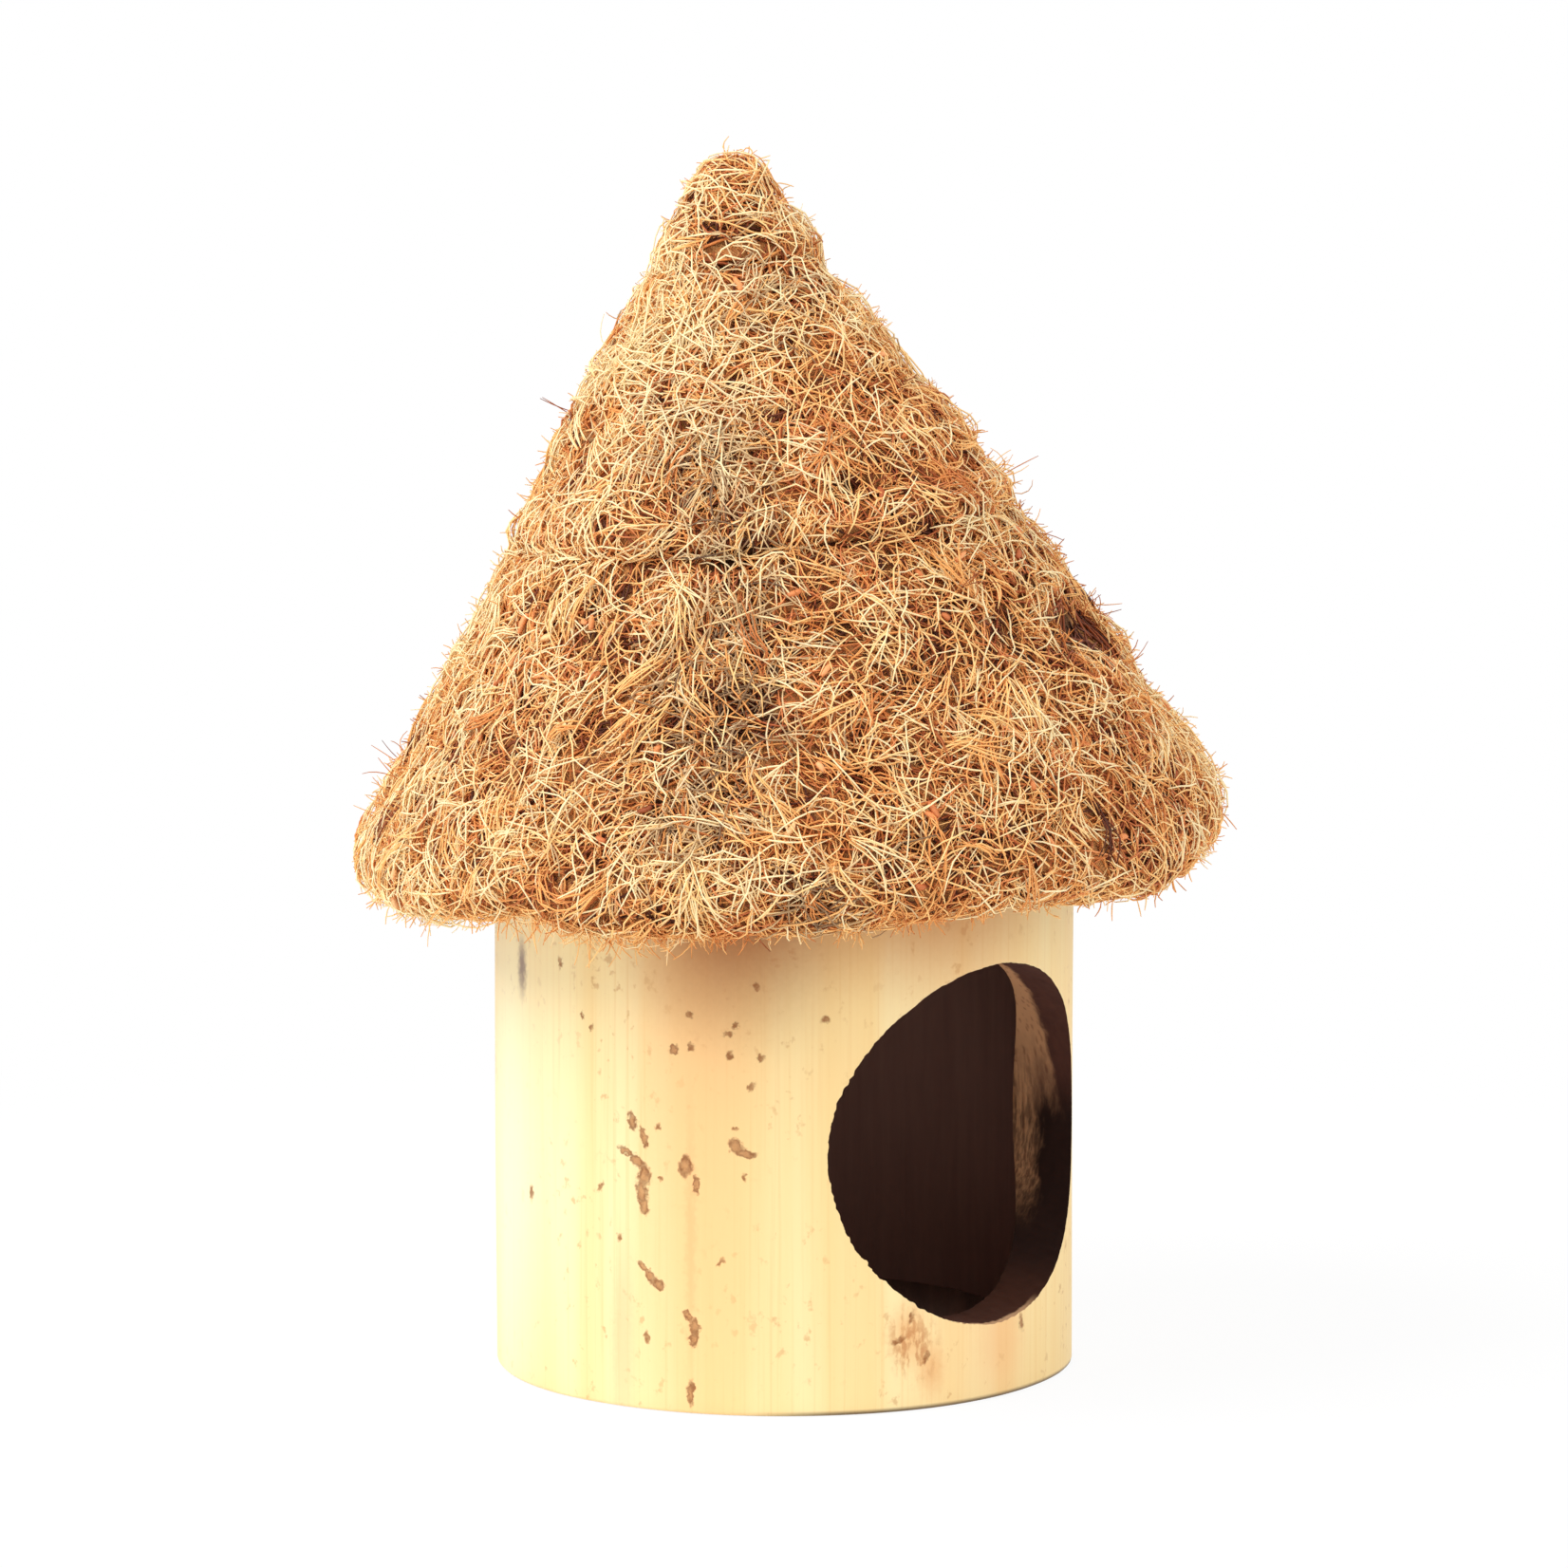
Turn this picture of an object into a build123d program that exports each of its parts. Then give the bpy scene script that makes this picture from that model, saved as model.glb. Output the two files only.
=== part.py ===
from build123d import *
import os
from math import cos, pi, radians, sin, sqrt, tan

# A small animal hut: a drilled length of thick bamboo under a lift-off roof of coir mat.
# Millimetres, +Z up, origin at the middle of the culm's foot, the door facing -Y.

# Driving dimensions of the culm and its floor
culm_diameter = 100.0
culm_wall = 10.0
culm_height = 107.0  # on its axis, from the foot to the sawn top
door_diameter = 62.0
door_height = 44.0  # of the door's centre above the foot
rim_ease = 0.7  # radius left on the sawn rims by sanding
floor_thickness = 5.0
floor_inset = 1.5  # from the foot up to the underside of the floor

# Driving dimensions of the roof as a whole
roof_slope = 32.0  # degrees between the roof's side and its axis
roof_lean = 5.0  # degrees that the culm's top is sawn out of square, so the roof leans
lean_bearing = 133.5  # degrees from +X towards +Y: the side that the roof leans to
eave_reach = 27.5  # along the slope, from the seat hoop down to the edge of the eave
tip_radius = 9.3  # of the ball that ends the cap

# Driving dimensions of the coir tiers, measured square to the slope or along it
coir_thickness = 12.0
cone_length = 53.3  # the upper tier's height up the slope, and the skirt takes the rest
tier_step = 1.8  # how far the upper tier stands proud where it laps the skirt
cap_step = 1.0  # how far the cap stands proud of the upper tier
eave_outer_round = 5.0
eave_inner_round = 3.5

# Driving dimensions of the frame inside the roof, its places measured along the slope
rib_count = 8
rib_width = 6.0
rib_thickness = 3.0
rib_overrun = 7.0  # from the eave hoop down to the ribs' lower ends
rib_ease = 0.5
rib_end_gap = 0.6  # between neighbouring ribs where they crowd round the plug
hoop_diameter = 5.0
collar_above_lap = 10.0  # from the lap of the tiers up to the collar hoop
plug_length = 12.0  # the plug's bearing, from the ribs' upper ends down
stem_diameter = 10.0
stem_in_cap = 9.0  # how far the plug's stem reaches up into the cap

# Driving dimensions of the nails and the twine
nail_diameter = 1.2
nail_head_diameter = 2.4
nail_head_angle = 82.0
hoop_nail_length = 6.5
apex_nail_length = 9.0
apex_nail_inset = 5.0  # from the ribs' upper ends down to the nails
twine_diameter = 1.5
stitch_bend = 1.2  # radius of the twine's bends, on its middle line
stitch_depth = 1.6  # how far the stitches are drawn in under the outside of the coir

# Clearances
floor_clearance = 0.1  # round the floor in the culm's bore
seat_clearance = 0.3  # between the seat hoop and the culm's top
rim_clearance = 1.1  # between the culm's top edge and the ribs, which centre the roof on it
lift_clearance = 1.0  # between the culm's side and the eave hoop, so that the roof lifts off freely
coir_clearance = 0.2  # between the coir and what it lies on
frame_clearance = 0.1  # between the ribs and the hoops or plug that they lie on
nail_clearance = 0.03  # round a nail in its hole
twine_clearance = 0.3  # between a stitch and the rib that it goes round

# What follows from the driving dimensions
culm_radius = culm_diameter / 2
bore_radius = culm_radius - culm_wall
hoop_radius = hoop_diameter / 2
stem_radius = stem_diameter / 2
nail_radius = nail_diameter / 2
twine_radius = twine_diameter / 2
slope = radians(roof_slope)
lean = radians(roof_lean)
bearing = radians(lean_bearing)

# The ribs end where they would touch one another, and both their edges lie clear of the round coir
rib_end_radius = (rib_width + rib_end_gap) / 2 / tan(pi / rib_count)
rib_end_outer = rib_end_radius + rib_thickness * cos(slope)
rib_edge_rise = (rib_end_outer - sqrt(rib_end_outer**2 - (rib_width / 2) ** 2)) * cos(slope)

# Depths below the outside of the coir, square to the slope
rib_outer_depth = coir_thickness + coir_clearance + rib_edge_rise
rib_inner_depth = rib_outer_depth + rib_thickness
plug_depth = rib_inner_depth + frame_clearance
hoop_depth = plug_depth + hoop_radius

# The seat hoop lies on the culm's top, inside the ribs, and the rest of the roof is built out from it
seat_height = seat_clearance + hoop_radius
rib_inset_at_seat = (hoop_radius + frame_clearance) / cos(slope) + seat_height * tan(slope)
sawn_radius = culm_radius / cos(lean)
seat_radius = sawn_radius + rim_clearance - rib_inset_at_seat
roof_radius = seat_radius + hoop_depth * cos(slope) + eave_reach * sin(slope)
eave_drop = eave_reach * cos(slope) - hoop_depth * sin(slope) - seat_height

# The eave hoop hangs below the seat hoop, just far enough down the slope to go round the leaning culm
eave_hoop_spread = sawn_radius + lift_clearance + hoop_radius - seat_radius - seat_height * tan(lean)
eave_hoop_below_seat = eave_hoop_spread / (sin(slope) - cos(slope) * tan(lean))

# Places up the slope from the edge of the eave
eave_hoop_along = eave_reach - eave_hoop_below_seat
rib_start_along = eave_hoop_along - rib_overrun
stem_socket_radius = stem_radius + coir_clearance
rib_end_along = (roof_radius - rib_end_radius - rib_inner_depth * cos(slope)) / sin(slope)
cone_end_along = (roof_radius - stem_socket_radius - coir_thickness * cos(slope)) / sin(slope)
cone_start_along = cone_end_along - cone_length
skirt_length = cone_start_along - coir_clearance
cap_start_along = cone_end_along + coir_clearance
plug_foot_along = rib_end_along - plug_length
apex_nail_along = rib_end_along - apex_nail_inset
hoops_along = {
    "eave_hoop": eave_hoop_along,
    "seat_hoop": eave_reach,
    "collar_hoop": skirt_length + collar_above_lap,
}
rib_angles = [360.0 / rib_count * (number + 0.5) for number in range(rib_count)]

# The roof's own frame: its origin on the culm's sawn top, its axis leaning
seat_plane = Plane(
    origin=(0, 0, culm_height),
    x_dir=(sin(bearing), -cos(bearing), 0),
    z_dir=(sin(lean) * cos(bearing), sin(lean) * sin(bearing), cos(lean)),
)
roof_axis = Axis(seat_plane.origin, seat_plane.z_dir)


def slope_point(along, depth):
    """Radius and height in the roof's frame of a point up the slope and below its outside."""
    radius = roof_radius - along * sin(slope) - depth * cos(slope)
    height = along * cos(slope) - depth * sin(slope) - eave_drop
    return (radius, height)


def radial_plane(angle):
    """The plane through the roof's axis at that angle: its x runs outwards, its y up the axis."""
    turned = seat_plane.moved(Rotation(0, 0, angle))
    return Plane(origin=turned.origin, x_dir=turned.x_dir, z_dir=-turned.y_dir)


def slope_plane(angle, along, depth):
    """The plane on the slope at that angle: its x runs sideways, its y up the slope, its z outwards."""
    radial = radial_plane(angle)
    place = radial.from_local_coords(slope_point(along, depth))
    outwards = radial.x_dir * cos(slope) + radial.y_dir * sin(slope)
    return Plane(origin=place, x_dir=-radial.z_dir, z_dir=outwards)


def write_piece(piece, name):
    """Label a finished piece and write its STEP file."""
    piece.label = name
    export_step(piece, f"parts/{name}.step")


os.makedirs("parts", exist_ok=True)

# Bamboo culm: a tube, its top sawn a little out of square, the door drilled through one wall
with BuildPart() as bamboo_culm:
    with BuildSketch():
        Circle(culm_radius)
        Circle(bore_radius, mode=Mode.SUBTRACT)
    extrude(amount=culm_height + culm_diameter * tan(lean))
    split(bisect_by=seat_plane, keep=Keep.BOTTOM)
    fillet(bamboo_culm.edges(), radius=rim_ease)
    with BuildSketch(Plane.XZ):
        with Locations((0, door_height)):
            Circle(door_diameter / 2)
    extrude(amount=culm_diameter, mode=Mode.SUBTRACT)
write_piece(bamboo_culm.part, "bamboo_culm")

# Floor: a thin wooden disc glued into the bore just above the foot
with BuildPart() as floor_disc:
    with BuildSketch(Plane.XY.offset(floor_inset)):
        Circle(bore_radius - floor_clearance)
    extrude(amount=floor_thickness)
write_piece(floor_disc.part, "floor_disc")

# Rattan hoops: the seat hoop rests on the culm, the eave hoop and the collar hoop stiffen the ribs
for name, along in hoops_along.items():
    with BuildPart() as hoop:
        with BuildSketch(radial_plane(0)):
            with Locations(slope_point(along, hoop_depth)):
                Circle(hoop_radius)
        revolve(axis=roof_axis)
    write_piece(hoop.part, name)

# Split bamboo ribs: flat splints up the inside of the coir, countersunk for the nails
rib_length = rib_end_along - rib_start_along
for number, angle in enumerate(rib_angles, start=1):
    rib_face = slope_plane(angle, rib_start_along + rib_length / 2, rib_outer_depth)
    with BuildPart() as rib:
        with BuildSketch(rib_face):
            Rectangle(rib_width, rib_length)
        extrude(amount=-rib_thickness)
        fillet(rib.edges().filter_by(Axis(rib_face.origin, rib_face.y_dir)), radius=rib_ease)
        for along in [*hoops_along.values(), apex_nail_along]:
            with Locations(slope_plane(angle, along, rib_outer_depth)):
                CounterSinkHole(
                    nail_radius + nail_clearance,
                    nail_head_diameter / 2 + nail_clearance,
                    depth=rib_thickness,
                    counter_sink_angle=nail_head_angle,
                )
    write_piece(rib.part, f"rib_{number}")

# Apex plug: a whittled cone that the ribs lie on, drilled for their nails, with a stem for the coir
plug_foot = slope_point(plug_foot_along, plug_depth)
plug_shoulder = slope_point(rib_end_along, plug_depth)
stem_top = slope_point(cone_end_along, coir_thickness)[1] + stem_in_cap
with BuildPart() as apex_plug:
    with BuildSketch(radial_plane(0)):
        with BuildLine():
            Polyline(
                (0, plug_foot[1]),
                plug_foot,
                plug_shoulder,
                (stem_radius, plug_shoulder[1]),
                (stem_radius, stem_top),
                (0, stem_top),
                close=True,
            )
        make_face()
    revolve(axis=roof_axis)
    for angle in rib_angles:
        with Locations(slope_plane(angle, apex_nail_along, plug_depth)):
            Hole(nail_radius + nail_clearance, depth=apex_nail_length - rib_thickness)
write_piece(apex_plug.part, "apex_plug")


def make_nails(places_along, length):
    """Countersunk wire nails through every rib, one at each place up the slope."""
    head_height = (nail_head_diameter - nail_diameter) / 2 / tan(radians(nail_head_angle / 2))
    with BuildPart() as nails:
        for angle in rib_angles:
            for along in places_along:
                head = slope_plane(angle, along, rib_outer_depth)
                with BuildSketch(Plane(origin=head.origin, x_dir=head.x_dir, z_dir=-head.y_dir)):
                    with BuildLine():
                        Polyline(
                            (0, 0),
                            (nail_head_diameter / 2, 0),
                            (nail_radius, -head_height),
                            (nail_radius, nail_diameter - length),
                            (0, -length),
                            close=True,
                        )
                    make_face()
                revolve(axis=Axis(head.origin, head.z_dir))
    return nails.part


# Nails: a short one through each rib into each hoop, and a longer one through each rib into the plug
write_piece(make_nails(hoops_along.values(), hoop_nail_length), "hoop_nails")
write_piece(make_nails([apex_nail_along], apex_nail_length), "apex_nails")

# Coir skirt: the lower tier of the mat, square to the slope at the lap and rounded at the eave
with BuildPart() as coir_skirt:
    with BuildSketch(radial_plane(0)) as skirt_section:
        with BuildLine():
            Polyline(
                slope_point(0, 0),
                slope_point(skirt_length, 0),
                slope_point(skirt_length, coir_thickness),
                slope_point(0, coir_thickness),
                close=True,
            )
        make_face()
        fillet(skirt_section.vertices().sort_by(Axis.Y)[1], radius=eave_outer_round)
        fillet(skirt_section.vertices().sort_by(Axis.Y)[0], radius=eave_inner_round)
    revolve(axis=roof_axis)
write_piece(coir_skirt.part, "coir_skirt")

# Coir cone: the upper tier, thicker at its lower edge, closing round the stem of the plug
with BuildPart() as coir_cone:
    with BuildSketch(radial_plane(0)):
        with BuildLine():
            Polyline(
                slope_point(cone_start_along, -tier_step),
                slope_point(cone_end_along, 0),
                slope_point(cone_end_along, coir_thickness),
                slope_point(cone_start_along, coir_thickness),
                close=True,
            )
        make_face()
    revolve(axis=roof_axis)
write_piece(coir_cone.part, "coir_cone")

# Coir cap: a wad over the stem, its tip a ball that runs smoothly into the slope
slope_reach = roof_radius * cos(slope) - eave_drop * sin(slope) + cap_step
tip_center = (slope_reach - tip_radius) / sin(slope)
socket_top = stem_top + coir_clearance
cap_foot_depth = coir_thickness - coir_clearance * tan(slope)
with BuildPart() as coir_cap:
    with BuildSketch(radial_plane(0)):
        with BuildLine():
            ball = CenterArc((0, tip_center), tip_radius, roof_slope, 90 - roof_slope)
            Polyline(
                ball @ 1,
                (0, socket_top),
                (stem_socket_radius, socket_top),
                slope_point(cap_start_along, cap_foot_depth),
                slope_point(cap_start_along, -cap_step),
                ball @ 0,
            )
        make_face()
    revolve(axis=roof_axis)
write_piece(coir_cap.part, "coir_cap")


def make_stitches(places_along):
    """Closed loops of twine, each round a rib and out through the coir, drawn in under its outside."""
    half_width = rib_width / 2 + twine_clearance + twine_radius
    inner_depth = rib_inner_depth + twine_clearance + twine_radius
    height = inner_depth - stitch_depth - twine_radius
    with BuildPart() as stitches:
        for angle in rib_angles:
            for along in places_along:
                inside = slope_plane(angle, along, inner_depth)
                with BuildLine(Plane(origin=inside.origin, x_dir=inside.x_dir, z_dir=-inside.y_dir)) as loop:
                    FilletPolyline(
                        (half_width, 0),
                        (half_width, height),
                        (-half_width, height),
                        (-half_width, 0),
                        radius=stitch_bend,
                        close=True,
                    )
                path = loop.wires()[0]
                with BuildSketch(Plane(origin=path @ 0, z_dir=path % 0)):
                    Circle(twine_radius)
                sweep(path=path)
    return stitches.part


# Twine stitches: they sew both tiers to the ribs, half way between the hoops, the lap and the plug
skirt_stitches_along = [
    (eave_hoop_along + eave_reach) / 2,
    (eave_reach + skirt_length) / 2,
]
cone_stitches_along = [
    skirt_length + (collar_above_lap - hoop_radius) / 2,
    (skirt_length + collar_above_lap + plug_foot_along) / 2,
]
write_piece(make_stitches(skirt_stitches_along), "skirt_stitches")
write_piece(make_stitches(cone_stitches_along), "cone_stitches")
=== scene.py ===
import bmesh
import bpy
import numpy as np
import random
from math import atan2, cos, degrees, exp, pi, radians, sin, tau
from mathutils import Matrix, Quaternion, Vector, noise
from mathutils.bvhtree import BVHTree
from mathutils.kdtree import KDTree


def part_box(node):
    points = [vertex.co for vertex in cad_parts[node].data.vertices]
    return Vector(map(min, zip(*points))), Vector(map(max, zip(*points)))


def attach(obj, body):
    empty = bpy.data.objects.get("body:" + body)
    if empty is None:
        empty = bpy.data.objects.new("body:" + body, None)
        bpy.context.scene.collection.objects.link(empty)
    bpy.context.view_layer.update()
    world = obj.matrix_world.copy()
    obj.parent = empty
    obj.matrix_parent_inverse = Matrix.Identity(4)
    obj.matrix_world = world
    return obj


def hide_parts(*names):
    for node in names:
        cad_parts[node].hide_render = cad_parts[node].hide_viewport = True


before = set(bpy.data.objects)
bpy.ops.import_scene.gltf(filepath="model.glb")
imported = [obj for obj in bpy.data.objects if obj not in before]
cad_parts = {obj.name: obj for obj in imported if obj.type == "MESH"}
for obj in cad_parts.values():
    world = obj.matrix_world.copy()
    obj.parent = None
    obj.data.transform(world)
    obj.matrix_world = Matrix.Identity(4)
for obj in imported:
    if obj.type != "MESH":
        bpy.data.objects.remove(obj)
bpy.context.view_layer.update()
scene = bpy.context.scene
scene.view_settings.view_transform = "Standard"
mm = 0.001

# The viewpoint: a long lens a little above the hut, half way round to the left of its door.
# A few tufts and pits of the coir are placed by the pixels at which this view shows them.
view_azimuth = radians(-46.5)
view_elevation = radians(8.4)
view_distance = 1600 * mm
view_target = Vector((0, 0, 100.74 * mm))
view_lens = 212.71
view_sensor = 36.0
photo_width = 1652
up = Vector((0, 0, 1))
view_across = Vector((cos(view_azimuth), sin(view_azimuth), 0))
view_level = Vector((-sin(view_azimuth), cos(view_azimuth), 0))
view_ahead = view_level * cos(view_elevation) - up * sin(view_elevation)
view_up = view_across.cross(view_ahead)
view_point = view_target - view_ahead * view_distance

camera = bpy.data.objects.new("camera", bpy.data.cameras.new("camera"))
camera.data.lens = view_lens
camera.data.sensor_width = view_sensor
view_turn = Matrix((view_across, view_up, -view_ahead)).transposed().to_4x4()
camera.matrix_world = Matrix.Translation(view_point) @ view_turn
scene.collection.objects.link(camera)
scene.camera = camera


def view_ray(across_pixel, down_pixel):
    """The direction in which the camera looks through a pixel of the photograph."""
    across = (across_pixel / photo_width - 0.5) * view_sensor
    down = (down_pixel / photo_width - 0.5) * view_sensor
    return (view_ahead * view_lens + view_across * across - view_up * down).normalized()


# Bamboo culm: one length of thick giant bamboo, sawn off at both ends and sanded, its top a little
# out of square, with the door drilled through one wall. The dry skin is pale straw, blotched brown.
culm_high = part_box("bamboo_culm")[1]
culm_radius = culm_high.x
culm_wall = 10 * mm
culm_height = 107 * mm
culm_rows = 40
culm_steps = 240
rim_ease = 0.7 * mm
skin_swell = 0.3 * mm
bore_swell = 0.25 * mm
swells_round = 1.7
swells_up = 14
door_radius = 31 * mm
door_height = 44 * mm
door_rag = 0.38 * mm
coarse_rag = 180
fine_rag = 1100
torn_side = Vector((-0.8, -0.6, 0))
drill_depth = 50 * mm
drill_steps = 440
drill_rows = 32
weld_gap = 0.002 * mm
corner_angle = 1.0
roof_lean = radians(5)
lean_bearing = radians(133.5)
roof_axis = Vector(
    (sin(roof_lean) * cos(lean_bearing), sin(roof_lean) * sin(lean_bearing), cos(roof_lean))
)


class Wire:
    """A socket of a material's nodes. Arithmetic on it adds Math nodes."""

    def __init__(self, tree, socket=None):
        self.tree = tree
        self.socket = socket

    def node(self, kind, settings, inputs, output=0):
        """Adds a node: its settings are set first, then its inputs get their values or links."""
        node = self.tree.nodes.new("ShaderNode" + kind)
        for name, value in settings.items():
            if name == "stops":
                ramp = node.color_ramp.elements
                while len(ramp) < len(value):
                    ramp.new(1.0)
                for stop, (place, colour) in zip(ramp, value):
                    stop.position = place
                    stop.color = colour
            else:
                setattr(node, name, value)
        for name, value in inputs.items():
            if isinstance(value, Wire):
                self.tree.links.new(value.socket, node.inputs[name])
            else:
                node.inputs[name].default_value = value
        return Wire(self.tree, node.outputs[output]) if node.outputs else None

    def math(self, operation, first, second=0.0):
        return self.node("Math", {"operation": operation}, {0: first, 1: second})

    def __add__(self, other):
        return self.math("ADD", self, other)

    def __radd__(self, other):
        return self.math("ADD", other, self)

    def __sub__(self, other):
        return self.math("SUBTRACT", self, other)

    def __rsub__(self, other):
        return self.math("SUBTRACT", other, self)

    def __mul__(self, other):
        return self.math("MULTIPLY", self, other)

    def __rmul__(self, other):
        return self.math("MULTIPLY", other, self)

    def __truediv__(self, other):
        return self.math("DIVIDE", self, other)


def tint(red, green, blue):
    """A colour given as a painter reads it off a screen, from 0 to 255, in linear light."""
    shares = [value / 255 for value in (red, green, blue)]
    linear = [
        share / 12.92 if share < 0.04045 else ((share + 0.055) / 1.055) ** 2.4 for share in shares
    ]
    return (*linear, 1.0)


def new_finish(name):
    """An empty material, and a wire to add its nodes by."""
    finish = bpy.data.materials.new(name)
    finish.use_nodes = True
    finish.node_tree.nodes.clear()
    return finish, Wire(finish.node_tree)


def object_place(wire):
    """The place on the piece, in millimetres."""
    place = wire.node("TexCoord", {}, {}, "Object")
    return wire.node("VectorMath", {"operation": "SCALE"}, {0: place, "Scale": 1 / mm})


def dot(vector, direction):
    return vector.node("VectorMath", {"operation": "DOT_PRODUCT"}, {0: vector, 1: direction}, "Value")


def vector_of(first, second, third):
    wire = next(part for part in (first, second, third) if isinstance(part, Wire))
    return wire.node("CombineXYZ", {}, {0: first, 1: second, 2: third})


def grain(vector, scale, detail=3.0, roughness=0.55):
    """Soft noise from 0 to 1, with about that many spots to the millimetre."""
    inputs = {"Vector": vector, "Scale": scale, "Detail": detail, "Roughness": roughness}
    return vector.node("TexNoise", {}, inputs)


def fade(value, start, end):
    """Rises smoothly from 0 at start to 1 at end, either way round."""
    inputs = {"Value": value, "From Min": start, "From Max": end}
    return value.node("MapRange", {"interpolation_type": "SMOOTHSTEP"}, inputs)


def blend(factor, first, second):
    """Goes from the first colour to the second."""
    return factor.node("Mix", {"data_type": "RGBA"}, {0: factor, 6: first, 7: second}, 2)


def bumps(height, strength, distance):
    inputs = {"Height": height, "Strength": strength, "Distance": distance}
    return height.node("Bump", {}, inputs, "Normal")


def surface(wire, **inputs):
    """Ends a material in a Principled surface."""
    named = {name.replace("_", " "): value for name, value in inputs.items()}
    shader = wire.node("BsdfPrincipled", {}, named)
    wire.node("OutputMaterial", {}, {"Surface": shader})


def mesh_from(name, shape, crease=radians(40)):
    """Turns a bmesh into a smooth mesh whose edges stay sharp past the crease angle."""
    mesh = bpy.data.meshes.new(name)
    shape.to_mesh(mesh)
    shape.free()
    mesh.shade_smooth()
    mesh.set_sharp_from_angle(angle=crease)
    return mesh


def add_piece(name, mesh, finish, body):
    """Puts a finished mesh in the scene, riding on that body."""
    mesh.materials.clear()
    mesh.materials.append(finish)
    piece = bpy.data.objects.new(name, mesh)
    scene.collection.objects.link(piece)
    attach(piece, body)
    return piece


def draw_section(section):
    """A section of radii and heights, ready to be spun: closed, unless it begins on the axis."""
    shape = bmesh.new()
    corners = [shape.verts.new((radius, 0, height)) for radius, height in section]
    for first, second in zip(corners, corners[1:]):
        shape.edges.new((first, second))
    if section[0][0] > 0:
        shape.edges.new((corners[-1], corners[0]))
    return shape


def spin(shape, steps):
    everything = shape.verts[:] + shape.edges[:]
    bmesh.ops.spin(shape, geom=everything, axis=up, angle=tau, steps=steps, use_merge=True)


def round_corners(shape, offset, segments):
    """Turns the faces outwards and rounds the corners between them."""
    bmesh.ops.recalc_face_normals(shape, faces=shape.faces)
    corners = [edge for edge in shape.edges if edge.calc_face_angle(0) > corner_angle]
    bmesh.ops.bevel(
        shape, geom=corners, offset=offset, segments=segments, profile=0.5, affect="EDGES", material=-1
    )


def make_tube():
    """The culm's wall, spun, sawn at the seat of the roof and eased at both rims."""
    blank_top = culm_high.z + culm_wall
    bore_radius = culm_radius - culm_wall
    shape = draw_section(
        [(culm_radius, 0), (culm_radius, blank_top), (bore_radius, blank_top), (bore_radius, 0)]
    )
    upright = [edge for edge in shape.edges if edge.calc_length() > culm_wall * 2]
    bmesh.ops.subdivide_edges(shape, edges=upright, cuts=culm_rows)
    spin(shape, culm_steps)
    everything = shape.verts[:] + shape.edges[:] + shape.faces[:]
    seat = Vector((0, 0, culm_height))
    bmesh.ops.bisect_plane(shape, geom=everything, plane_co=seat, plane_no=roof_axis, clear_outer=True)
    sawn = [edge for edge in shape.edges if edge.is_boundary]
    bmesh.ops.bridge_loops(shape, edges=sawn)
    round_corners(shape, rim_ease, 3)
    for vert in shape.verts:
        outwards = Vector((vert.co.x, vert.co.y, 0)).normalized()
        waviness = noise.noise(outwards * swells_round + up * vert.co.z * swells_up)
        if vert.co.xy.length > culm_radius - culm_wall / 2:
            vert.co += outwards * skin_swell * waviness
        else:
            vert.co += outwards * bore_swell * (1 + waviness)
    bmesh.ops.triangulate(shape, faces=shape.faces)
    return mesh_from("culm_tube", shape)


def make_drill():
    """The round cutter of the door, a little ragged, as the saw tears the fibres."""
    shape = bmesh.new()
    bmesh.ops.create_cone(
        shape,
        cap_ends=True,
        segments=drill_steps,
        radius1=door_radius,
        radius2=door_radius,
        depth=drill_depth,
    )
    sides = [edge for edge in shape.edges if edge.calc_length() > drill_depth / 2]
    bmesh.ops.subdivide_edges(shape, edges=sides, cuts=drill_rows)
    for vert in shape.verts:
        outwards = Vector((vert.co.x, vert.co.y, 0)).normalized()
        torn = 0.5 + 0.6 * max(outwards.dot(torn_side), 0)
        rag = 0.6 * noise.noise(vert.co * coarse_rag) + torn * noise.noise(vert.co * fine_rag)
        vert.co += outwards * door_rag * rag
    bmesh.ops.rotate(shape, verts=shape.verts, matrix=Matrix.Rotation(pi / 2, 3, "X"))
    middle = Vector((0, -culm_radius - culm_wall + drill_depth / 2, door_height))
    bmesh.ops.translate(shape, verts=shape.verts, vec=middle)
    bmesh.ops.triangulate(shape, faces=shape.faces)
    return mesh_from("door_drill", shape)


def drilled(tube_mesh, drill_mesh):
    """The tube's mesh with the drill's taken out of it."""
    tube = bpy.data.objects.new("culm_blank", tube_mesh)
    drill = bpy.data.objects.new("culm_drill", drill_mesh)
    for blank in (tube, drill):
        scene.collection.objects.link(blank)
    cut = tube.modifiers.new("door", "BOOLEAN")
    cut.operation = "DIFFERENCE"
    cut.solver = "EXACT"
    cut.object = drill
    bpy.context.view_layer.update()
    evaluated = tube.evaluated_get(bpy.context.evaluated_depsgraph_get())
    mesh = bpy.data.meshes.new_from_object(evaluated)
    for blank in (tube, drill):
        bpy.data.objects.remove(blank)
    shape = bmesh.new()
    shape.from_mesh(mesh)
    bmesh.ops.remove_doubles(shape, verts=shape.verts, dist=weld_gap)
    return mesh_from("culm", shape)


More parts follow.
